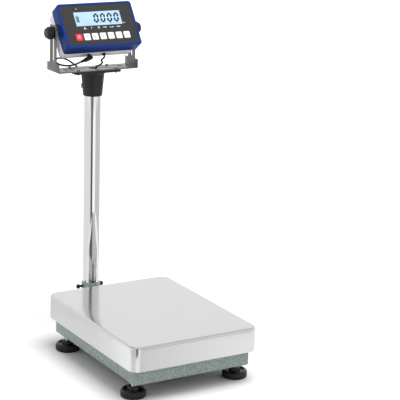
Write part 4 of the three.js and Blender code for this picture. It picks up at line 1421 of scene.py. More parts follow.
def build_indicator_bracket():
    """The indicator's bracket: a tray with two slotted uprights, laser cut from 2 mm sheet,
    folded and powder coated."""
    low, high = span("indicator_bracket")
    middle = (low + high) / 2
    sheet, wall, bend = 2.0, 20.0, 3.0
    half_width, half_depth = (high.x - low.x) / 2, (high.y - low.y) / 2
    arm_width, corner, slot = 31.0, 4.0, 3.55
    section = soften(
        [
            (-half_width, low.z + wall),
            (-half_width, low.z),
            (half_width, low.z),
            (half_width, low.z + wall),
            (half_width - sheet, low.z + wall),
            (half_width - sheet, low.z + sheet),
            (sheet - half_width, low.z + sheet),
            (sheet - half_width, low.z + wall),
        ],
        [0.3, bend, bend, 0.3, 0.3, 1.6, 1.6, 0.3],
        5,
        closed=True,
    )
    tray = loft([[(x, y, z) for x, z in section] for y in (middle.y - half_depth, middle.y + half_depth)])
    bracket = make_piece("indicator_bracket_folded", tray, FINISHES["coat"])
    upright_foot = low.z + 8
    outline = rectangle(high.z - upright_foot, arm_width, corner, 6)
    stand = Matrix.Rotation(math.radians(-90), 4, "Y")
    for side in (-1, 1):
        inner = side * half_width if side < 0 else half_width - sheet
        plate = moved(
            slab(outline, 0, sheet),
            Matrix.Translation((inner + sheet, middle.y, (high.z + upright_foot) / 2)) @ stand,
        )
        cut_away(bracket, plate, "UNION")
    pivot_z = PIVOT.z
    slot_foot = low.z + wall + 4
    slot_outline = rectangle(pivot_z + slot - slot_foot, 2 * slot, slot, 8)
    cut_away(
        bracket,
        moved(
            slab(slot_outline, -half_width - 5, half_width + 5),
            Matrix.Translation((0, middle.y, (slot_foot + pivot_z + slot) / 2)) @ stand,
        ),
    )
    place = Matrix.Translation((0, middle.y, 0))
    drop, rise = low.z - 2, low.z + sheet + 2
    cut_away(bracket, moved(slab(rectangle(20, 20, 10, 12), drop, rise), place))
    for side in (-1, 1):
        x = side * 67.5
        cut_away(bracket, moved(slab(rectangle(10, 10, 5, 8, x, 2), drop, rise), place))
        cut_away(bracket, moved(slab(rectangle(6, 10, 2.9, 6, x, -2.5), drop, rise), place))
    round_edges(bracket, 0.3, 2, 50)
    stand_for(bracket, "indicator_bracket")


def build_tray_screws():
    """Pan-head screws with crossed recesses that hold the tray to the column head."""
    for corner in CORNERS:
        node = f"tray_screw_{corner}"
        low, high = span(node)
        middle = (low + high) / 2
        radius, dome = (high.x - low.x) / 2, 2.4
        seat = high.z - dome
        profile = soften(
            [(2, seat - 1), (2, seat), (radius, seat), (radius, seat + 1), (0.6 * radius, high.z), (0.4, high.z)],
            [0, 0, 0.2, 0.9, 1.2, 0],
            4,
        )
        screw = make_piece(node + "_steel", turned(profile, 40), FINISHES["nickel"])
        for arm in cross_recess(3.6, 1.3, high.z):
            cut_away(screw, arm)
        thread = screw_thread(2, low.z, seat, 0.7, 16)
        shaft = make_piece(node + "_thread", moved(thread, Matrix.Translation((middle.x, middle.y, 0))), FINISHES["nickel"], sharp=50)
        screw.data.transform(Matrix.Translation(Vector((middle.x, middle.y, 0)) * MM))
        shade(screw)
        stand_for(screw, node)
        add_to(shaft, node)


# ------------------------------------------------------------------ indicator


def on_face(depth):
    """Where flat work lies on the indicator's face: x right, y up the face, z out of it."""
    middle = tilted_span("front_bezel")
    height = (middle[0].z + middle[1].z) / 2
    return TILTED @ Matrix.Translation((0, depth, height)) @ Matrix.Rotation(math.radians(90), 4, "X")


def case_rings(section, width, height, corner, least, middle_z, steps=10):
    """Rings of a case about the indicator's middle, from a section of inset and depth pairs."""
    rings = []
    for inset, y in section:
        outline = rectangle(width - 2 * inset, height - 2 * inset, max(corner - inset, least), steps)
        rings.append([(x, y, middle_z + z) for x, z in outline])
    return rings


def build_front_bezel():
    """The front bezel: a deep moulded frame with a rounded rim and a rebate for the face panel."""
    low, high = tilted_span("front_bezel")
    rim, ledge, wall = 5.2, 9.2, 2.5
    section = soften(
        [
            (0, high.y),
            (0, low.y),
            (rim, low.y),
            (rim, low.y + 2.3),
            (ledge, low.y + 2.3),
            (ledge, low.y + 3.8),
            (wall, low.y + 3.8),
            (wall, high.y),
        ],
        [0.5, 2.2, 0.8, 0.15, 0.2, 0.3, 1.2, 0.2],
        7,
        closed=True,
    )
    rings = case_rings(
        section, high.x - low.x, high.z - low.z, 7, 3, (low.z + high.z) / 2, 14
    )
    bezel = make_piece("front_bezel_moulded", loft(rings, loop=True), FINISHES["bezel"], TILTED)
    stand_for(bezel, "front_bezel")


def build_rear_housing():
    """The rear housing: a moulded tub with pivot bosses, holes for the leads and four case
    screws sunk in its back."""
    low, high = tilted_span("rear_housing")
    middle_z = (tilted_span("front_bezel")[0].z + tilted_span("front_bezel")[1].z) / 2
    height = 2 * (middle_z - low.z)
    width, wall, reach = 177.6, 2.5, 24.0
    section = soften(
        [
            (reach, high.y),
            (0, high.y),
            (0, low.y),
            (wall, low.y),
            (wall, high.y - wall),
            (reach, high.y - wall),
        ],
        [0, 6.4, 0.4, 0.3, 3.5, 0],
        9,
    )
    housing = make_piece(
        "rear_housing_moulded", loft(case_rings(section, width, height, 10, 3, middle_z, 12)), FINISHES["housing"]
    )
    across = Matrix.Rotation(math.radians(90), 4, "Y")
    cut_away(housing, moved(turned([(3.3, -120), (3.3, 120)], 32), across))
    floor_z = middle_z - height / 2
    for x, radius in ((-24, 3.8), (13, 3.7)):
        drill = moved(turned([(radius, -5), (radius, 5)], 40), Matrix.Translation((x, 6, floor_z)))
        cut_away(housing, drill)
    wells = [(sx * 78, middle_z + sz * 41) for sx in (-1, 1) for sz in (-1, 1)]
    inward = Matrix.Rotation(math.radians(-90), 4, "X")
    mouth = tilted_span("charging_socket")
    socket_hole = moved(
        turned([(5.7, -5), (5.7, 5)], 48),
        Matrix.Translation(((mouth[0].x + mouth[1].x) / 2, high.y, (mouth[0].z + mouth[1].z) / 2)) @ inward,
    )
    cut_away(housing, socket_hole)
    for x, z in wells:
        well = moved(turned([(3.6, -1.5), (3.6, 3)], 32), Matrix.Translation((x, high.y, z)) @ inward)
        cut_away(housing, well)
    housing.data.transform(Matrix.Scale(MM, 4) @ TILTED @ Matrix.Scale(1 / MM, 4))
    shade(housing)
    stand_for(housing, "rear_housing")
    boss = soften([(3.3, 85.6), (6.2, 85.6), (6.2, 95.7), (3.3, 95.7)], [0, 0, 0.5, 0.3], 3, closed=True)
    bosses = [
        moved(turned(boss, 40, loop=True), Matrix.Rotation(math.radians(turn), 4, "Z") @ across)
        for turn in (0, 180)
    ]
    pair = make_piece("rear_housing_bosses", together(*bosses), FINISHES["housing"], TILTED)
    add_to(pair, "rear_housing")
    head = soften([(3.1, 0), (3.1, 0.5), (1.9, 1.2), (0.3, 1.2)], [0, 0.3, 0.4, 0], 3)
    for i, (x, z) in enumerate(wells):
        screw = make_piece(f"case_screw_{i + 1}", turned(head, 32), FINISHES["zinc"])
        for arm in cross_recess(3.2, 0.8, 1.2):
            cut_away(screw, arm)
        place = TILTED @ Matrix.Translation((x, high.y - 1.5, z)) @ inward
        screw.data.transform(Matrix.Scale(MM, 4) @ place @ Matrix.Scale(1 / MM, 4))
        shade(screw)
        add_to(screw, "rear_housing")


def build_face_panel():
    """The face: dark printed film on a panel, with openings for the display and the keys."""
    low, high = tilted_span("face_panel")
    screen_low, screen_high = tilted_span("lcd_module")
    middle_z = (low.z + high.z) / 2
    sheet = 1.5
    outlines = [rectangle(high.x - low.x, high.z - low.z, 3, 6)]
    outlines.append(rectangle(112.6, 33.9, 1, 4, 0, (screen_low.z + screen_high.z) / 2 - middle_z))
    for name in KEYS:
        key_low, key_high = tilted_span(f"key_{name}")
        outlines.append(
            rectangle(
                key_high.x - key_low.x + 0.5,
                key_high.z - key_low.z + 0.5,
                2.2,
                5,
                (key_low.x + key_high.x) / 2,
                (key_low.z + key_high.z) / 2 - middle_z,
            )
        )
    panel = flat_plate("face_panel_film", outlines, FINISHES["overlay"], sheet, on_face(low.y + sheet))
    stand_for(panel, "face_panel")
    ink = make_piece(
        "face_panel_marks", together(*face_marks()), FINISHES["white_ink"], on_face(low.y)
    )
    add_to(ink, "face_panel")
    lamp = turned(soften([(2.3, 0), (2.3, 0.12), (1.5, 0.28), (0.2, 0.34)], [0, 0.1, 0.5, 0], 3), 32)
    lens = make_piece(
        "charge_lamp_lens",
        moved(lamp, Matrix.Translation((-52, 39.5, 0))),
        FINISHES["black"],
        on_face(low.y),
    )
    add_to(lens, "face_panel")


def stroke(path, width, thick=0.06, closed=False):
    """A printed line of that width along a path of x and y pairs."""
    parts = []
    ends = list(path) + ([path[0]] if closed else [])
    for (x0, y0), (x1, y1) in zip(ends, ends[1:]):
        along = Vector((x1 - x0, y1 - y0)).normalized() * width / 2
        side = Vector((-along.y, along.x))
        corners = [
            (x0 - along.x + side.x, y0 - along.y + side.y),
            (x0 - along.x - side.x, y0 - along.y - side.y),
            (x1 + along.x - side.x, y1 + along.y - side.y),
            (x1 + along.x + side.x, y1 + along.y + side.y),
        ]
        parts.append(slab(corners, 0, thick))
    return together(*parts)


def arc(radius, start, end, x=0.0, y=0.0, steps=20):
    """Points on an arc, with its angles in degrees."""
    return [
        (
            x + radius * math.cos(math.radians(start + (end - start) * i / steps)),
            y + radius * math.sin(math.radians(start + (end - start) * i / steps)),
        )
        for i in range(steps + 1)
    ]


def filled(points, thick=0.06):
    """A printed filled outline."""
    return slab(points, 0, thick)


def face_marks():
    """Printed marks on the face: one for each thing that the display's pointers can show, a
    unit mark and a mark beside the charge lamp. They are plain shapes with no lettering."""
    row = -7.2
    marks = [
        stroke([(-40.4, row - 2.2), (-35.2, row - 2.2), (-37.8, row + 2.4)], 0.7, closed=True),
        filled([(-38.9, row - 1.5), (-36.7, row - 1.5), (-37.8, row + 0.6)]),
        stroke([(-22.2, row - 1.6), (-22.2, row + 1.6), (-20.6, row + 1.6)], 0.6),
        stroke([(-22.2, row), (-20.9, row)], 0.6),
        stroke([(-6.5, row), (-4.1, row - 2.3), (-1.7, row), (-4.1, row + 2.3)], 0.7, closed=True),
        filled([(-4.9, row), (-4.1, row - 0.8), (-3.3, row), (-4.1, row + 0.8)]),
        stroke([(7.4, row - 1.1), (10, row - 1.1), (10, row + 1.1), (7.4, row + 1.1)], 0.7, closed=True),
        stroke([(12, row - 1.1), (14.6, row - 1.1), (14.6, row + 1.1), (12, row + 1.1)], 0.7, closed=True),
        filled([(23.8, row - 1.5), (27.2, row - 1.5), (23.8, row + 1.5)]),
        filled([(28.2, row - 1.5), (31.6, row - 1.5), (31.6, row + 1.5)]),
        stroke(arc(1.9, 0, 342, 44.1, row), 0.8, closed=True),
        filled(arc(0.75, 0, 340, 44.1, row)),
        stroke([(39.2, row), (41.6, row)], 0.8),
        stroke([(46.6, row), (49, row)], 0.8),
        stroke([(59, 0.1), (59, 1.9)], 0.7),
        stroke([(60.4, 0.1), (60.4, 1.9)], 0.7),
        stroke(arc(0.9, 0, 340, 62.3, 1), 0.6, closed=True),
        stroke([(-48.8, 39.5), (-47, 39.5)], 0.8),
        stroke([(-46.4, 38.8), (-46.4, 40.2)], 0.6),
    ]
    return marks


def key_mark(name):
    """The mark printed on a key, a plain shape about its middle."""
    if name == "power":
        return [stroke(arc(3.2, 128, 412), 1.0), stroke([(0, 1), (0, 4.2)], 1.0)]
    if name == "print":
        return [
            stroke([(-2.2, -1.4), (2.2, -1.4), (2.2, 1), (-2.2, 1)], 0.45, closed=True),
            stroke([(-1.2, 1), (-1.2, 2.4), (1.2, 2.4), (1.2, 1)], 0.4),
        ]
    if name == "count":
        return [
            stroke([(-0.9, -1.9), (-0.3, 1.9)], 0.45),
            stroke([(0.5, -1.9), (1.1, 1.9)], 0.45),
            stroke([(-1.7, 0.7), (1.7, 0.7)], 0.45),
            stroke([(-1.9, -0.7), (1.5, -0.7)], 0.45),
        ]
    if name == "mode":
        return [stroke([(-2.3, y), (2.3, y)], 0.5) for y in (-1.3, 0, 1.3)]
    if name == "light":
        rays = [
            stroke([(1.5 * math.cos(a), 1.5 * math.sin(a)), (2.1 * math.cos(a), 2.1 * math.sin(a))], 0.4)
            for a in [i * math.pi / 4 for i in range(8)]
        ]
        return [filled(arc(0.8, 0, 340)), *rays]
    if name == "tare":
        return [
            stroke([(-2.2, -1.5), (2.2, -1.5)], 0.5),
            filled([(-1.1, 0.4), (0, -0.9), (1.1, 0.4)]),
            stroke([(0, 0), (0, 2)], 0.5),
        ]
    return [stroke(arc(1.5, 0, 342), 0.5, closed=True), stroke([(-3, 0), (-2, 0)], 0.5), stroke([(2, 0), (3, 0)], 0.5)]


def build_keys():
    """The seven keys: domed film caps with printed marks, one red and six white."""
    for name in KEYS:
        node = f"key_{name}"
        low, high = tilted_span(node)
        width, height = high.x - low.x, high.z - low.z
        middle_x = (low.x + high.x) / 2
        middle_z = (low.z + high.z) / 2
        section = soften(
            [(width * 0.4, low.y), (0, low.y + 0.05), (0, low.y + 3.2)],
            [0, 1.1, 0],
            5,
        )
        rings = []
        for inset, y in section:
            outline = rectangle(width - 2 * inset, height - 2 * inset, max(2 - inset, 0.8), 6)
            rings.append([(middle_x + x, y, middle_z + z) for x, z in outline])
        finish = FINISHES["red_key" if name == "power" else "white_key"]
        stand_for(make_piece(node + "_cap", loft(rings), finish, TILTED), node)
        ink = FINISHES["white_ink" if name == "power" else "grey_ink"]
        place = (
            TILTED
            @ Matrix.Translation((middle_x, low.y + 0.03, middle_z))
            @ Matrix.Rotation(math.radians(90), 4, "X")
        )
        add_to(make_piece(node + "_mark", together(*key_mark(name)), ink, place), node)


def digit(height, width, thick, slant, x, lit="abcdef"):
    """A seven-segment digit with its left foot at x, drawn from its own foot."""
    gap = 0.2
    half = thick / 2
    left, right, low, middle, high = half, width - half, half, height / 2, height - half

    def bar(x0, y0, x1, y1):
        along = Vector((x1 - x0, y1 - y0))
        side = Vector((-along.y, along.x)).normalized() * half
        step = along.normalized()
        a, b = Vector((x0, y0)) + step * gap, Vector((x1, y1)) - step * gap
        return [
            a,
            a + step * half - side,
            b - step * half - side,
            b,
            b - step * half + side,
            a + step * half + side,
        ]

    bars = {
        "a": bar(left, high, right, high),
        "b": bar(right, middle, right, high),
        "c": bar(right, low, right, middle),
        "d": bar(left, low, right, low),
        "e": bar(left, low, left, middle),
        "f": bar(left, middle, left, high),
        "g": bar(left, middle, right, middle),
    }
    lean = math.tan(math.radians(slant))
    return [filled([(x + px + lean * py, py) for px, py in bars[name]]) for name in lit]


def build_display(sizes):
    """The display module: backlit glass in its frame, with dark segments that read zero."""
    low, high = tilted_span("lcd_module")
    face_low, face_high = tilted_span("face_panel")
    middle_z = (low.z + high.z) / 2
    glass_y = low.y
    rings = []
    for width, height, y in ((112, 33.3, glass_y), (112, 33.3, glass_y + 1.6)):
        outline = rectangle(width, height, 1, 4)
        rings.append([(x, y, middle_z + z) for x, z in outline])
    glass = make_piece("lcd_module_glass", loft(rings), FINISHES["display"], TILTED)
    stand_for(glass, "lcd_module")
    body = case_rings(
        soften([(0, glass_y + 1.8), (0, high.y)], 0), high.x - low.x, high.z - low.z, 1, 1, middle_z, 3
    )
    add_to(make_piece("lcd_module_frame", loft(body), FINISHES["black"], TILTED), "lcd_module")
    tall, pitch = sizes.digit_height / MM, sizes.digit_pitch / MM
    wide = 0.56 * tall
    foot = -tall / 2 + 0.6
    place = TILTED @ Matrix.Translation((0, glass_y, middle_z)) @ Matrix.Rotation(math.radians(90), 4, "X")
    shapes = []
    for i in range(4):
        x = 50 - wide - (3 - i) * pitch
        shapes += [moved(part, Matrix.Translation((0, foot, 0))) for part in digit(tall, wide, 4.4, 5, x)]
    point_x = 50 - wide - 2 * pitch - (pitch - wide) / 2
    shapes.append(filled(rectangle(2.1, 2.1, 0.5, 3, point_x, foot + 1)))
    for x in (27.7, 44.1):
        shapes.append(filled([(x - 1.8, foot - 1.3), (x, foot - 3.7), (x + 1.8, foot - 1.3)]))
    cell_x, cell_foot = -49.5, -6.5
    shapes.append(stroke([(cell_x - 2.6, cell_foot), (cell_x - 2.6, cell_foot + 13)], 1.2))
    shapes.append(stroke([(cell_x + 2.6, cell_foot), (cell_x + 2.6, cell_foot + 13)], 1.2))
    shapes.append(stroke([(cell_x - 2.6, cell_foot), (cell_x + 2.6, cell_foot)], 1.2))
    shapes.append(stroke([(cell_x - 1.2, cell_foot + 14.2), (cell_x + 1.2, cell_foot + 14.2)], 1.2))
    for i in range(4):
        y = cell_foot + 2.2 + i * 3.1
        shapes.append(filled(rectangle(3.4, 2.3, 0.2, 2, cell_x, y)))
    add_to(make_piece("lcd_module_segments", together(*shapes), FINISHES["segment"], place), "lcd_module")


def build_inside_parts():
    """The circuit board with its parts, and the battery in its heat-shrunk wrap."""
    low, high = tilted_span("circuit_board")
    middle_z = (low.z + high.z) / 2
    board = flat_plate(
        "circuit_board_laminate",
        [
            rectangle(high.x - low.x, high.z - low.z, 2, 4),
            *[
                [(sx * 70 + 1.6 * math.cos(a), sz * 37 + 1.6 * math.sin(a)) for a in [i * math.pi / 10 for i in range(20)]]
                for sx in (-1, 1)
                for sz in (-1, 1)
            ],
        ],
        FINISHES["board"],
        1.6,
        TILTED @ Matrix.Translation((0, low.y + 1.6, middle_z)) @ Matrix.Rotation(math.radians(90), 4, "X"),
    )
    stand_for(board, "circuit_board")
    chips = []
    for x, z, width, height, depth in (
        (-50, 18, 14, 14, 3.5),
        (-20, 22, 18, 8, 3.5),
        (-52, -20, 10, 22, 7),
        (-28, -22, 12, 12, 7),
    ):
        outline = rectangle(width, height, 0.4, 2, x, z)
        lid = slab(outline, 0, depth, 0.4)
        chips.append(lid)
        for step in range(int(height / 2)):
            for side in (-1, 1):
                chips.append(
                    slab(rectangle(1.2, 0.6, 0.1, 1, x + side * (width / 2 + 0.4), z - height / 2 + 1 + 2 * step), 0, 0.5)
                )
    behind = TILTED @ Matrix.Translation((0, low.y + 1.6, middle_z)) @ Matrix.Rotation(math.radians(-90), 4, "X")
    turned_in = behind @ Matrix.Scale(-1, 4, (0, 1, 0))
    add_to(make_piece("circuit_board_parts", together(*chips), FINISHES["black"], turned_in), "circuit_board")
    low, high = tilted_span("battery")
    middle = (low + high) / 2
    outline = rectangle(high.x - low.x, high.z - low.z, 4, 6)
    case = slab(outline, 0, high.y - low.y, 1.6, 3)
    place = (
        TILTED
        @ Matrix.Translation((middle.x, high.y, middle.z))
        @ Matrix.Rotation(math.radians(90), 4, "X")
    )
    stand_for(make_piece("battery_wrapped", case, FINISHES["wrap"], place), "battery")


def build_knobs(sizes):
    """The tilt knobs: lobed grips moulded on studs, each with a raised round cap."""
    lobes = sizes.knob_lobes
    sides = lobes * 12
    for side, turn in (("left", 180), ("right", 0)):
        node = f"tilt_knob_{side}"
        low, high = tilted_span(node)
        outer = max(abs(low.x), abs(high.x))
        radius, rib, cap = 14.2, 0.9, 11.0
        grip, end = outer - 15.5, outer - 4.5

        def lobed(r):
            return lambda a: r - rib * (0.5 + 0.5 * math.tanh(3 * math.cos(lobes * a))) * (r / radius)

        profile = soften(
            [
                (5, grip - 3.5),
                (5, grip),
                (radius, grip),
                (radius, end),
                (cap, end),
                (cap, outer),
                (2, outer),
            ],
            [0, 0.5, 1.6, 2.4, 0.8, 1.6, 0],
            5,
        )
        rings = []
        for r, x in profile:
            ribbed = r > cap + 0.6 and grip - 0.1 < x < end + 0.1
            rings.append(circle(r, x, sides, lobed(r) if ribbed else None))
        across = TILTED @ Matrix.Rotation(math.radians(turn), 4, "Z") @ Matrix.Rotation(math.radians(90), 4, "Y")
        knob = make_piece(node + "_moulded", loft(rings), FINISHES["black"], across, sharp=40)
        stand_for(knob, node)
        stud = screw_thread(3, outer - 33, grip - 3.2, 1.0)
        add_to(make_piece(node + "_stud", stud, FINISHES["zinc"], across, sharp=50), node)


def build_lead_fittings():
    """What the leads leave the housing by: a moulded plug with a ribbed boot, a gland with its
    nut, and the socket for the charger."""
    underside = tilted_span("rear_housing")[0].z
    width, tall, length, reach, ribs, droop = 10.0, 8.0, 20.0, 10.0, 5, 18.0
    x, y, top = -24.0, 6.0, underside - 3
    outline = rectangle(length, width, 1.8, 6, -length / 2, 0)
    body = slab(outline, -tall, 0, 0.9, 3)
    rings = []
    for i in range(ribs * 8 + 1):
        along = reach * i / (ribs * 8)
        r = 3.75 - 1.0 * along / reach
        groove = 0.35 * (0.5 + 0.5 * math.tanh(4 * math.sin(2 * math.pi * ribs * along / reach)))
        rings.append(circle(r - groove, along, 32))
    relief = moved(
        loft(rings),
        Matrix.Translation((-length, 0, -tall / 2)) @ Matrix.Rotation(math.radians(-90), 4, "Y"),
    )
    slanted = moved(
        together(body, relief),
        Matrix.Translation((x + width / 2, y, top)) @ Matrix.Rotation(math.radians(-droop), 4, "Y"),
    )
    stem = soften(
        [(3.4, top - 4), (3.4, underside - 0.4), (3.3, underside + 2.8), (1, underside + 2.8)],
        [0, 0.3, 0.3, 0],
        3,
    )
    neck = moved(turned(stem, 40), Matrix.Translation((x, y, 0)))
    plug = make_piece("lead_plug_moulded", together(slanted, neck), FINISHES["black"], TILTED)
    stand_for(plug, "lead_plug")

    x, y = 13.0, 6.0
    nut = moved(hexagon(8.2, underside - 2.3, underside - 0.3), Matrix.Translation((x, y, 0)))
    cap = soften(
        [
            (2.2, underside - 4.3),
            (2.9, underside - 4.3),
            (3.2, underside - 2.2),
            (3.3, underside + 2.8),
            (2.2, underside + 2.8),
        ],
        [0.2, 0.5, 0.3, 0.2, 0.2],
        4,
        closed=True,
    )
    ring = moved(turned(cap, 40, loop=True), Matrix.Translation((x, y, 0)))
    stand_for(make_piece("lead_gland_moulded", together(nut, ring), FINISHES["black"], TILTED), "lead_gland")

    low, high = tilted_span("charging_socket")
    middle = (low + high) / 2
    shell = soften(
        [(2.6, 2), (2.6, 7), (5.5, 7), (5.5, 0), (1.2, 0), (1.2, 2)],
        [0.2, 0.4, 0.6, 0.4, 0.2, 0.2],
        4,
        closed=True,
    )
    place = (
        TILTED
        @ Matrix.Translation((middle.x, low.y, middle.z))
        @ Matrix.Rotation(math.radians(-90), 4, "X")
    )
    socket = turned(shell, 40, loop=True)
    stand_for(make_piece("charging_socket_moulded", socket, FINISHES["black"], place), "charging_socket")
    pin = turned([(0.9, 1.5), (0.9, 5.8), (0.5, 6.2)], 20)
    add_to(make_piece("charging_socket_pin", pin, FINISHES["zinc"], place), "charging_socket")


# ------------------------------------------------------------------ leads

PLUGGED_LEAD = [
    (-0.0466, 0.1838, 0.6208),
    (-0.0524, 0.1831, 0.619),
    (-0.0583, 0.1871, 0.6156),
    (-0.0644, 0.1967, 0.6118),
    (-0.0715, 0.2101, 0.6096),
    (-0.0806, 0.2225, 0.611),
    (-0.0853, 0.2315, 0.6155),
    (-0.08, 0.2385, 0.6205),
    (-0.067, 0.2425, 0.621),
    (-0.05, 0.2465, 0.6155),
    (-0.0365, 0.2515, 0.6075),
    (-0.024, 0.2555, 0.599),
    (-0.013, 0.2575, 0.5905),
    (-0.004, 0.2555, 0.585),
    (0, 0.2485, 0.584),
    (0, 0.2415, 0.584),
    (0, 0.236, 0.584),
]
CELL_LEAD = [
    (0.013, 0.1903, 0.6301),
    (0.0127, 0.1887, 0.6279),
    (0.0099, 0.1872, 0.6249),
    (0.0059, 0.1881, 0.6218),
    (0.0064, 0.1907, 0.619),
    (0.0092, 0.1939, 0.6168),
    (0.0122, 0.1975, 0.6144),
    (0.014, 0.2019, 0.6116),
    (0.0143, 0.2067, 0.6084),
    (0.0126, 0.2111, 0.6052),
    (0.0086, 0.2151, 0.6026),
    (0.0057, 0.2175, 0.5984),
    (0.0052, 0.2184, 0.592),
    (0.0045, 0.219, 0.585),
    (0.0045, 0.219, 0.5775),
    (0.0045, 0.219, 0.57),
]
LEAD_RADIUS = 2 * MM


def build_lead(node, points):
    """A round lead along its route, from the indicator down into the column."""
    route = smooth_route(points, 10)
    piece = make_piece(
        node + "_jacket",
        tube([point / MM for point in route], LEAD_RADIUS / MM, 20),
        FINISHES["jacket"],
        sharp=60,
    )
    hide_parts(node)
    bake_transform(piece)


def build_leads():
    """The plugged lead and the load cell's lead."""
    build_lead("plugged_lead", PLUGGED_LEAD)
    build_lead("cell_lead", CELL_LEAD)


# ------------------------------------------------------------------ stage


def build_camera(scene):
    """A long lens at standing height, a little above the pan and turned to its left."""
    yaw, pitch, roll = (math.radians(a) for a in (-31.111, 14.906, 1.591))
    data = bpy.data.cameras.new("camera")
    data.lens = 141.08
    data.sensor_width = 36
    camera = bpy.data.objects.new("camera", data)
    scene.collection.objects.link(camera)
    back = Vector(
        (
            math.sin(yaw) * math.cos(pitch),
            -math.cos(yaw) * math.cos(pitch),
            math.sin(pitch),
        )
    )
    right = Vector((0, 0, 1)).cross(back).normalized()
    above = back.cross(right)
    turned_right = math.cos(roll) * right + math.sin(roll) * above
    turned_above = -math.sin(roll) * right + math.cos(roll) * above
    matrix = Matrix((turned_right, turned_above, back)).transposed().to_4x4()
    matrix.translation = (-1.5629, JOINTS["column_turn"]["pos_m"][1] - 3.065, 1.2156)
    camera.matrix_world = matrix
    scene.camera = camera


def build_world(scene):
    """A white studio all round. Low down it has the greyer sides and the dark gap that a mirror
    finish picks up beside the camera."""
    world = bpy.data.worlds.new("White studio")
    scene.world = world
    world.use_nodes = True
    tree = world.node_tree
    tree.nodes.clear()
    where = add_node(tree, "ShaderNodeTexCoord")
    parts = add_node(tree, "ShaderNodeSeparateXYZ", {"Vector": where.outputs["Generated"]})
    # The azimuth of each direction from the one towards the camera, as 0 to 1 with the camera at 0.5.
    turn = math.radians(117)
    turned_x = add_node(
        tree,
        "ShaderNodeVectorRotate",
        {"Vector": where.outputs["Generated"], "Angle": turn},
        rotation_type="Z_AXIS",
    )
    flat = add_node(tree, "ShaderNodeSeparateXYZ", {"Vector": turned_x.outputs["Vector"]})
    azimuth = add_node(
        tree,
        "ShaderNodeMath",
        {0: flat.outputs["Y"], 1: flat.outputs["X"]},
        operation="ARCTAN2",
    )
    share = add_node(
        tree,
        "ShaderNodeMapRange",
        {"Value": azimuth.outputs[0], "From Min": -math.pi, "From Max": math.pi},
    )
    low = add_node(tree, "ShaderNodeValToRGB", {"Fac": share.outputs[0]})
    stops_low = [
        (0.0, 1.4),
        (0.06, 1.3),
        (0.1, 1.04),
        (0.445, 1.04),
        (0.466, 0.12),
        (0.514, 0.12),
        (0.535, 1.4),
        (0.6, 1.4),
        (0.64, 0.79),
        (0.84, 0.79),
        (0.9, 1.3),
        (1.0, 1.4),
    ]
    high = add_node(tree, "ShaderNodeValToRGB", {"Fac": share.outputs[0]})
    stops_high = [(0.0, 1.22), (0.42, 1.22), (0.45, 0.25), (0.53, 0.25), (0.55, 1.22), (1.0, 1.22)]
    for ramp, stops in ((low, stops_low), (high, stops_high)):
        # A ramp's colours stop at 1, so they hold half the light.
        while len(ramp.color_ramp.elements) < len(stops):
            ramp.color_ramp.elements.new(0.5)
        for element, (position, value) in zip(ramp.color_ramp.elements, stops):
            element.position = position
            element.color = (value / 2, value / 2, value / 2, 1)
    above = add_node(
        tree,
        "ShaderNodeMapRange",
        {"Value": parts.outputs["Z"], "From Min": 0.0, "From Max": 0.05},
    )
    overhead = add_node(
        tree,
        "ShaderNodeMapRange",
        {"Value": parts.outputs["Z"], "From Min": 0.5, "From Max": 0.62},
    )
    sides = add_node(
        tree,
        "ShaderNodeMix",
        {"Factor": above.outputs[0]},
        data_type="RGBA",
    )
    tree.links.new(low.outputs["Color"], sides.inputs[6])
    tree.links.new(high.outputs["Color"], sides.inputs[7])
    whole = add_node(tree, "ShaderNodeMix", {"Factor": overhead.outputs[0]}, data_type="RGBA")
    tree.links.new(sides.outputs[2], whole.inputs[6])
    whole.inputs[7].default_value = (0.44, 0.44, 0.44, 1)
    light = add_node(tree, "ShaderNodeBackground", {"Color": whole.outputs[2], "Strength": 2.0})
    add_node(tree, "ShaderNodeOutputWorld", {"Surface": light.outputs[0]})


def build_floor(sizes):
    """A round sheet of background paper under the feet."""
    radius = sizes.floor_radius / MM
    paper = make_piece(
        "floor_paper",
        moved(turned([(radius, -2), (radius, -0.05)], 96), Matrix.Translation((70, -120, 0))),
        FINISHES["paper"],
    )


def build_lights(scene):
    """One large soft light, high in front and to the right. It is kept out of mirror finishes, which see only the studio."""
    data = bpy.data.lights.new("soft_box", "AREA")
    data.shape = "RECTANGLE"
    data.size = 1.3
    data.size_y = 1.3
    data.energy = 50
    light = bpy.data.objects.new("soft_box", data)
    scene.collection.objects.link(light)
    light.location = (0.18, -0.35, 1.95)
    light.rotation_euler = (-light.location).to_track_quat("-Z", "Y").to_euler()
    light.visible_glossy = False


# ------------------------------------------------------------------ operators


class BENCHSCALE_OT_camera(bpy.types.Operator):
    """Sets the camera"""

    bl_idname = "bench_scale.camera"
    bl_label = "Camera"

    def execute(self, context):
        build_camera(context.scene)
        return {"FINISHED"}


class BENCHSCALE_OT_leads(bpy.types.Operator):
    """Builds the plugged lead and the load cell's lead"""

    bl_idname = "bench_scale.leads"
    bl_label = "Leads"

    def execute(self, context):
        build_leads()
        return {"FINISHED"}


class BENCHSCALE_OT_pan(bpy.types.Operator):
    """Builds the pressed stainless pan"""

    bl_idname = "bench_scale.pan"
    bl_label = "Pan"

    def execute(self, context):
        build_pan(context.scene.bench_scale_sizes)
        return {"FINISHED"}


class BENCHSCALE_OT_pads(bpy.types.Operator):
    """Builds the rubber pads under the pan"""

    bl_idname = "bench_scale.pads"
    bl_label = "Pan pads"

    def execute(self, context):
        build_pads()
        return {"FINISHED"}


class BENCHSCALE_OT_frames(bpy.types.Operator):
    """Builds the lower and the upper frame with their welds"""

    bl_idname = "bench_scale.frames"
    bl_label = "Frames"

    def execute(self, context):
        build_frames()
        return {"FINISHED"}


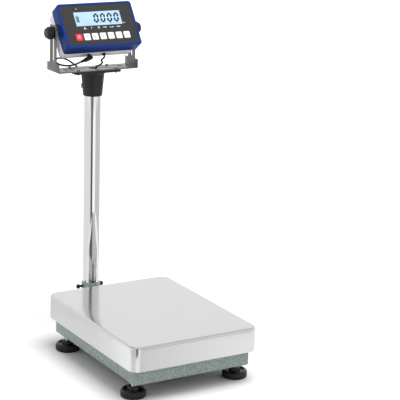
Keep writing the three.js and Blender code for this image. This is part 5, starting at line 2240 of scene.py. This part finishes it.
class BENCHSCALE_OT_load_cell(bpy.types.Operator):
    """Builds the load cell with its bolts, shims and overload stops"""

    bl_idname = "bench_scale.load_cell"
    bl_label = "Load cell"

    def execute(self, context):
        build_load_cell()
        build_cell_fixings()
        return {"FINISHED"}


class BENCHSCALE_OT_level(bpy.types.Operator):
    """Builds the bubble level"""

    bl_idname = "bench_scale.level"
    bl_label = "Bubble level"

    def execute(self, context):
        build_bubble_level()
        return {"FINISHED"}


class BENCHSCALE_OT_feet(bpy.types.Operator):
    """Builds the levelling feet and their locknuts"""

    bl_idname = "bench_scale.feet"
    bl_label = "Levelling feet"

    def execute(self, context):
        build_feet(context.scene.bench_scale_sizes)
        return {"FINISHED"}


class BENCHSCALE_OT_column_bracket(bpy.types.Operator):
    """Builds the column's bracket with its bolts and clamp screws"""

    bl_idname = "bench_scale.column_bracket"
    bl_label = "Column bracket"

    def execute(self, context):
        build_column_bracket()
        build_clamp_screws()
        return {"FINISHED"}


class BENCHSCALE_OT_column(bpy.types.Operator):
    """Builds the column, its head and the head's screw"""

    bl_idname = "bench_scale.column"
    bl_label = "Column"

    def execute(self, context):
        build_column_tube()
        build_column_head()
        build_head_screw()
        return {"FINISHED"}


class BENCHSCALE_OT_indicator_bracket(bpy.types.Operator):
    """Builds the indicator's folded bracket and its screws"""

    bl_idname = "bench_scale.indicator_bracket"
    bl_label = "Indicator bracket"

    def execute(self, context):
        build_indicator_bracket()
        build_tray_screws()
        return {"FINISHED"}


class BENCHSCALE_OT_case(bpy.types.Operator):
    """Builds the indicator's front bezel and rear housing"""

    bl_idname = "bench_scale.case"
    bl_label = "Indicator case"

    def execute(self, context):
        build_front_bezel()
        build_rear_housing()
        return {"FINISHED"}


class BENCHSCALE_OT_face(bpy.types.Operator):
    """Builds the face panel with its printed marks"""

    bl_idname = "bench_scale.face"
    bl_label = "Face panel"

    def execute(self, context):
        build_face_panel()
        return {"FINISHED"}


class BENCHSCALE_OT_keys(bpy.types.Operator):
    """Builds the seven keys"""

    bl_idname = "bench_scale.keys"
    bl_label = "Keys"

    def execute(self, context):
        build_keys()
        return {"FINISHED"}


class BENCHSCALE_OT_display(bpy.types.Operator):
    """Builds the display and its segments"""

    bl_idname = "bench_scale.display"
    bl_label = "Display"

    def execute(self, context):
        build_display(context.scene.bench_scale_sizes)
        return {"FINISHED"}


class BENCHSCALE_OT_inside(bpy.types.Operator):
    """Builds the circuit board and the battery"""

    bl_idname = "bench_scale.inside"
    bl_label = "Board and battery"

    def execute(self, context):
        build_inside_parts()
        return {"FINISHED"}


class BENCHSCALE_OT_knobs(bpy.types.Operator):
    """Builds the two tilt knobs"""

    bl_idname = "bench_scale.knobs"
    bl_label = "Tilt knobs"

    def execute(self, context):
        build_knobs(context.scene.bench_scale_sizes)
        return {"FINISHED"}


class BENCHSCALE_OT_fittings(bpy.types.Operator):
    """Builds the lead plug, the lead gland and the charging socket"""

    bl_idname = "bench_scale.fittings"
    bl_label = "Lead fittings"

    def execute(self, context):
        build_lead_fittings()
        return {"FINISHED"}


class BENCHSCALE_OT_stage(bpy.types.Operator):
    """Builds the white studio: world, floor and light"""

    bl_idname = "bench_scale.stage"
    bl_label = "Stage"

    def execute(self, context):
        scene = context.scene
        scene.view_settings.view_transform = "Standard"
        build_world(scene)
        build_floor(scene.bench_scale_sizes)
        build_lights(scene)
        return {"FINISHED"}


STEPS = (
    BENCHSCALE_OT_camera,
    BENCHSCALE_OT_leads,
    BENCHSCALE_OT_pan,
    BENCHSCALE_OT_pads,
    BENCHSCALE_OT_frames,
    BENCHSCALE_OT_load_cell,
    BENCHSCALE_OT_level,
    BENCHSCALE_OT_feet,
    BENCHSCALE_OT_column_bracket,
    BENCHSCALE_OT_column,
    BENCHSCALE_OT_indicator_bracket,
    BENCHSCALE_OT_case,
    BENCHSCALE_OT_face,
    BENCHSCALE_OT_keys,
    BENCHSCALE_OT_display,
    BENCHSCALE_OT_inside,
    BENCHSCALE_OT_knobs,
    BENCHSCALE_OT_fittings,
    BENCHSCALE_OT_stage,
)


class BENCHSCALE_PT_panel(bpy.types.Panel):
    """Lists the scale's settings and its building steps"""

    bl_idname = "BENCHSCALE_PT_panel"
    bl_label = "Bench Scale"
    bl_space_type = "VIEW_3D"
    bl_region_type = "UI"
    bl_category = "Bench Scale"

    def draw(self, context):
        layout = self.layout
        for settings in (context.scene.bench_scale_colours, context.scene.bench_scale_sizes):
            box = layout.box()
            for name in settings.__annotations__:
                box.prop(settings, name)
        column = layout.column(align=True)
        for step in STEPS:
            column.operator(step.bl_idname)


CLASSES = (BenchScaleColours, BenchScaleSizes, *STEPS, BENCHSCALE_PT_panel)


def register():
    for cls in CLASSES:
        bpy.utils.register_class(cls)
    bpy.types.Scene.bench_scale_colours = bpy.props.PointerProperty(type=BenchScaleColours)
    bpy.types.Scene.bench_scale_sizes = bpy.props.PointerProperty(type=BenchScaleSizes)


def unregister():
    del bpy.types.Scene.bench_scale_sizes
    del bpy.types.Scene.bench_scale_colours
    for cls in reversed(CLASSES):
        bpy.utils.unregister_class(cls)


def main():
    register()
    make_finishes(bpy.context.scene.bench_scale_colours)
    for step in STEPS:
        group, name = step.bl_idname.split(".")
        getattr(getattr(bpy.ops, group), name)()


if __name__ == "__main__":
    main()
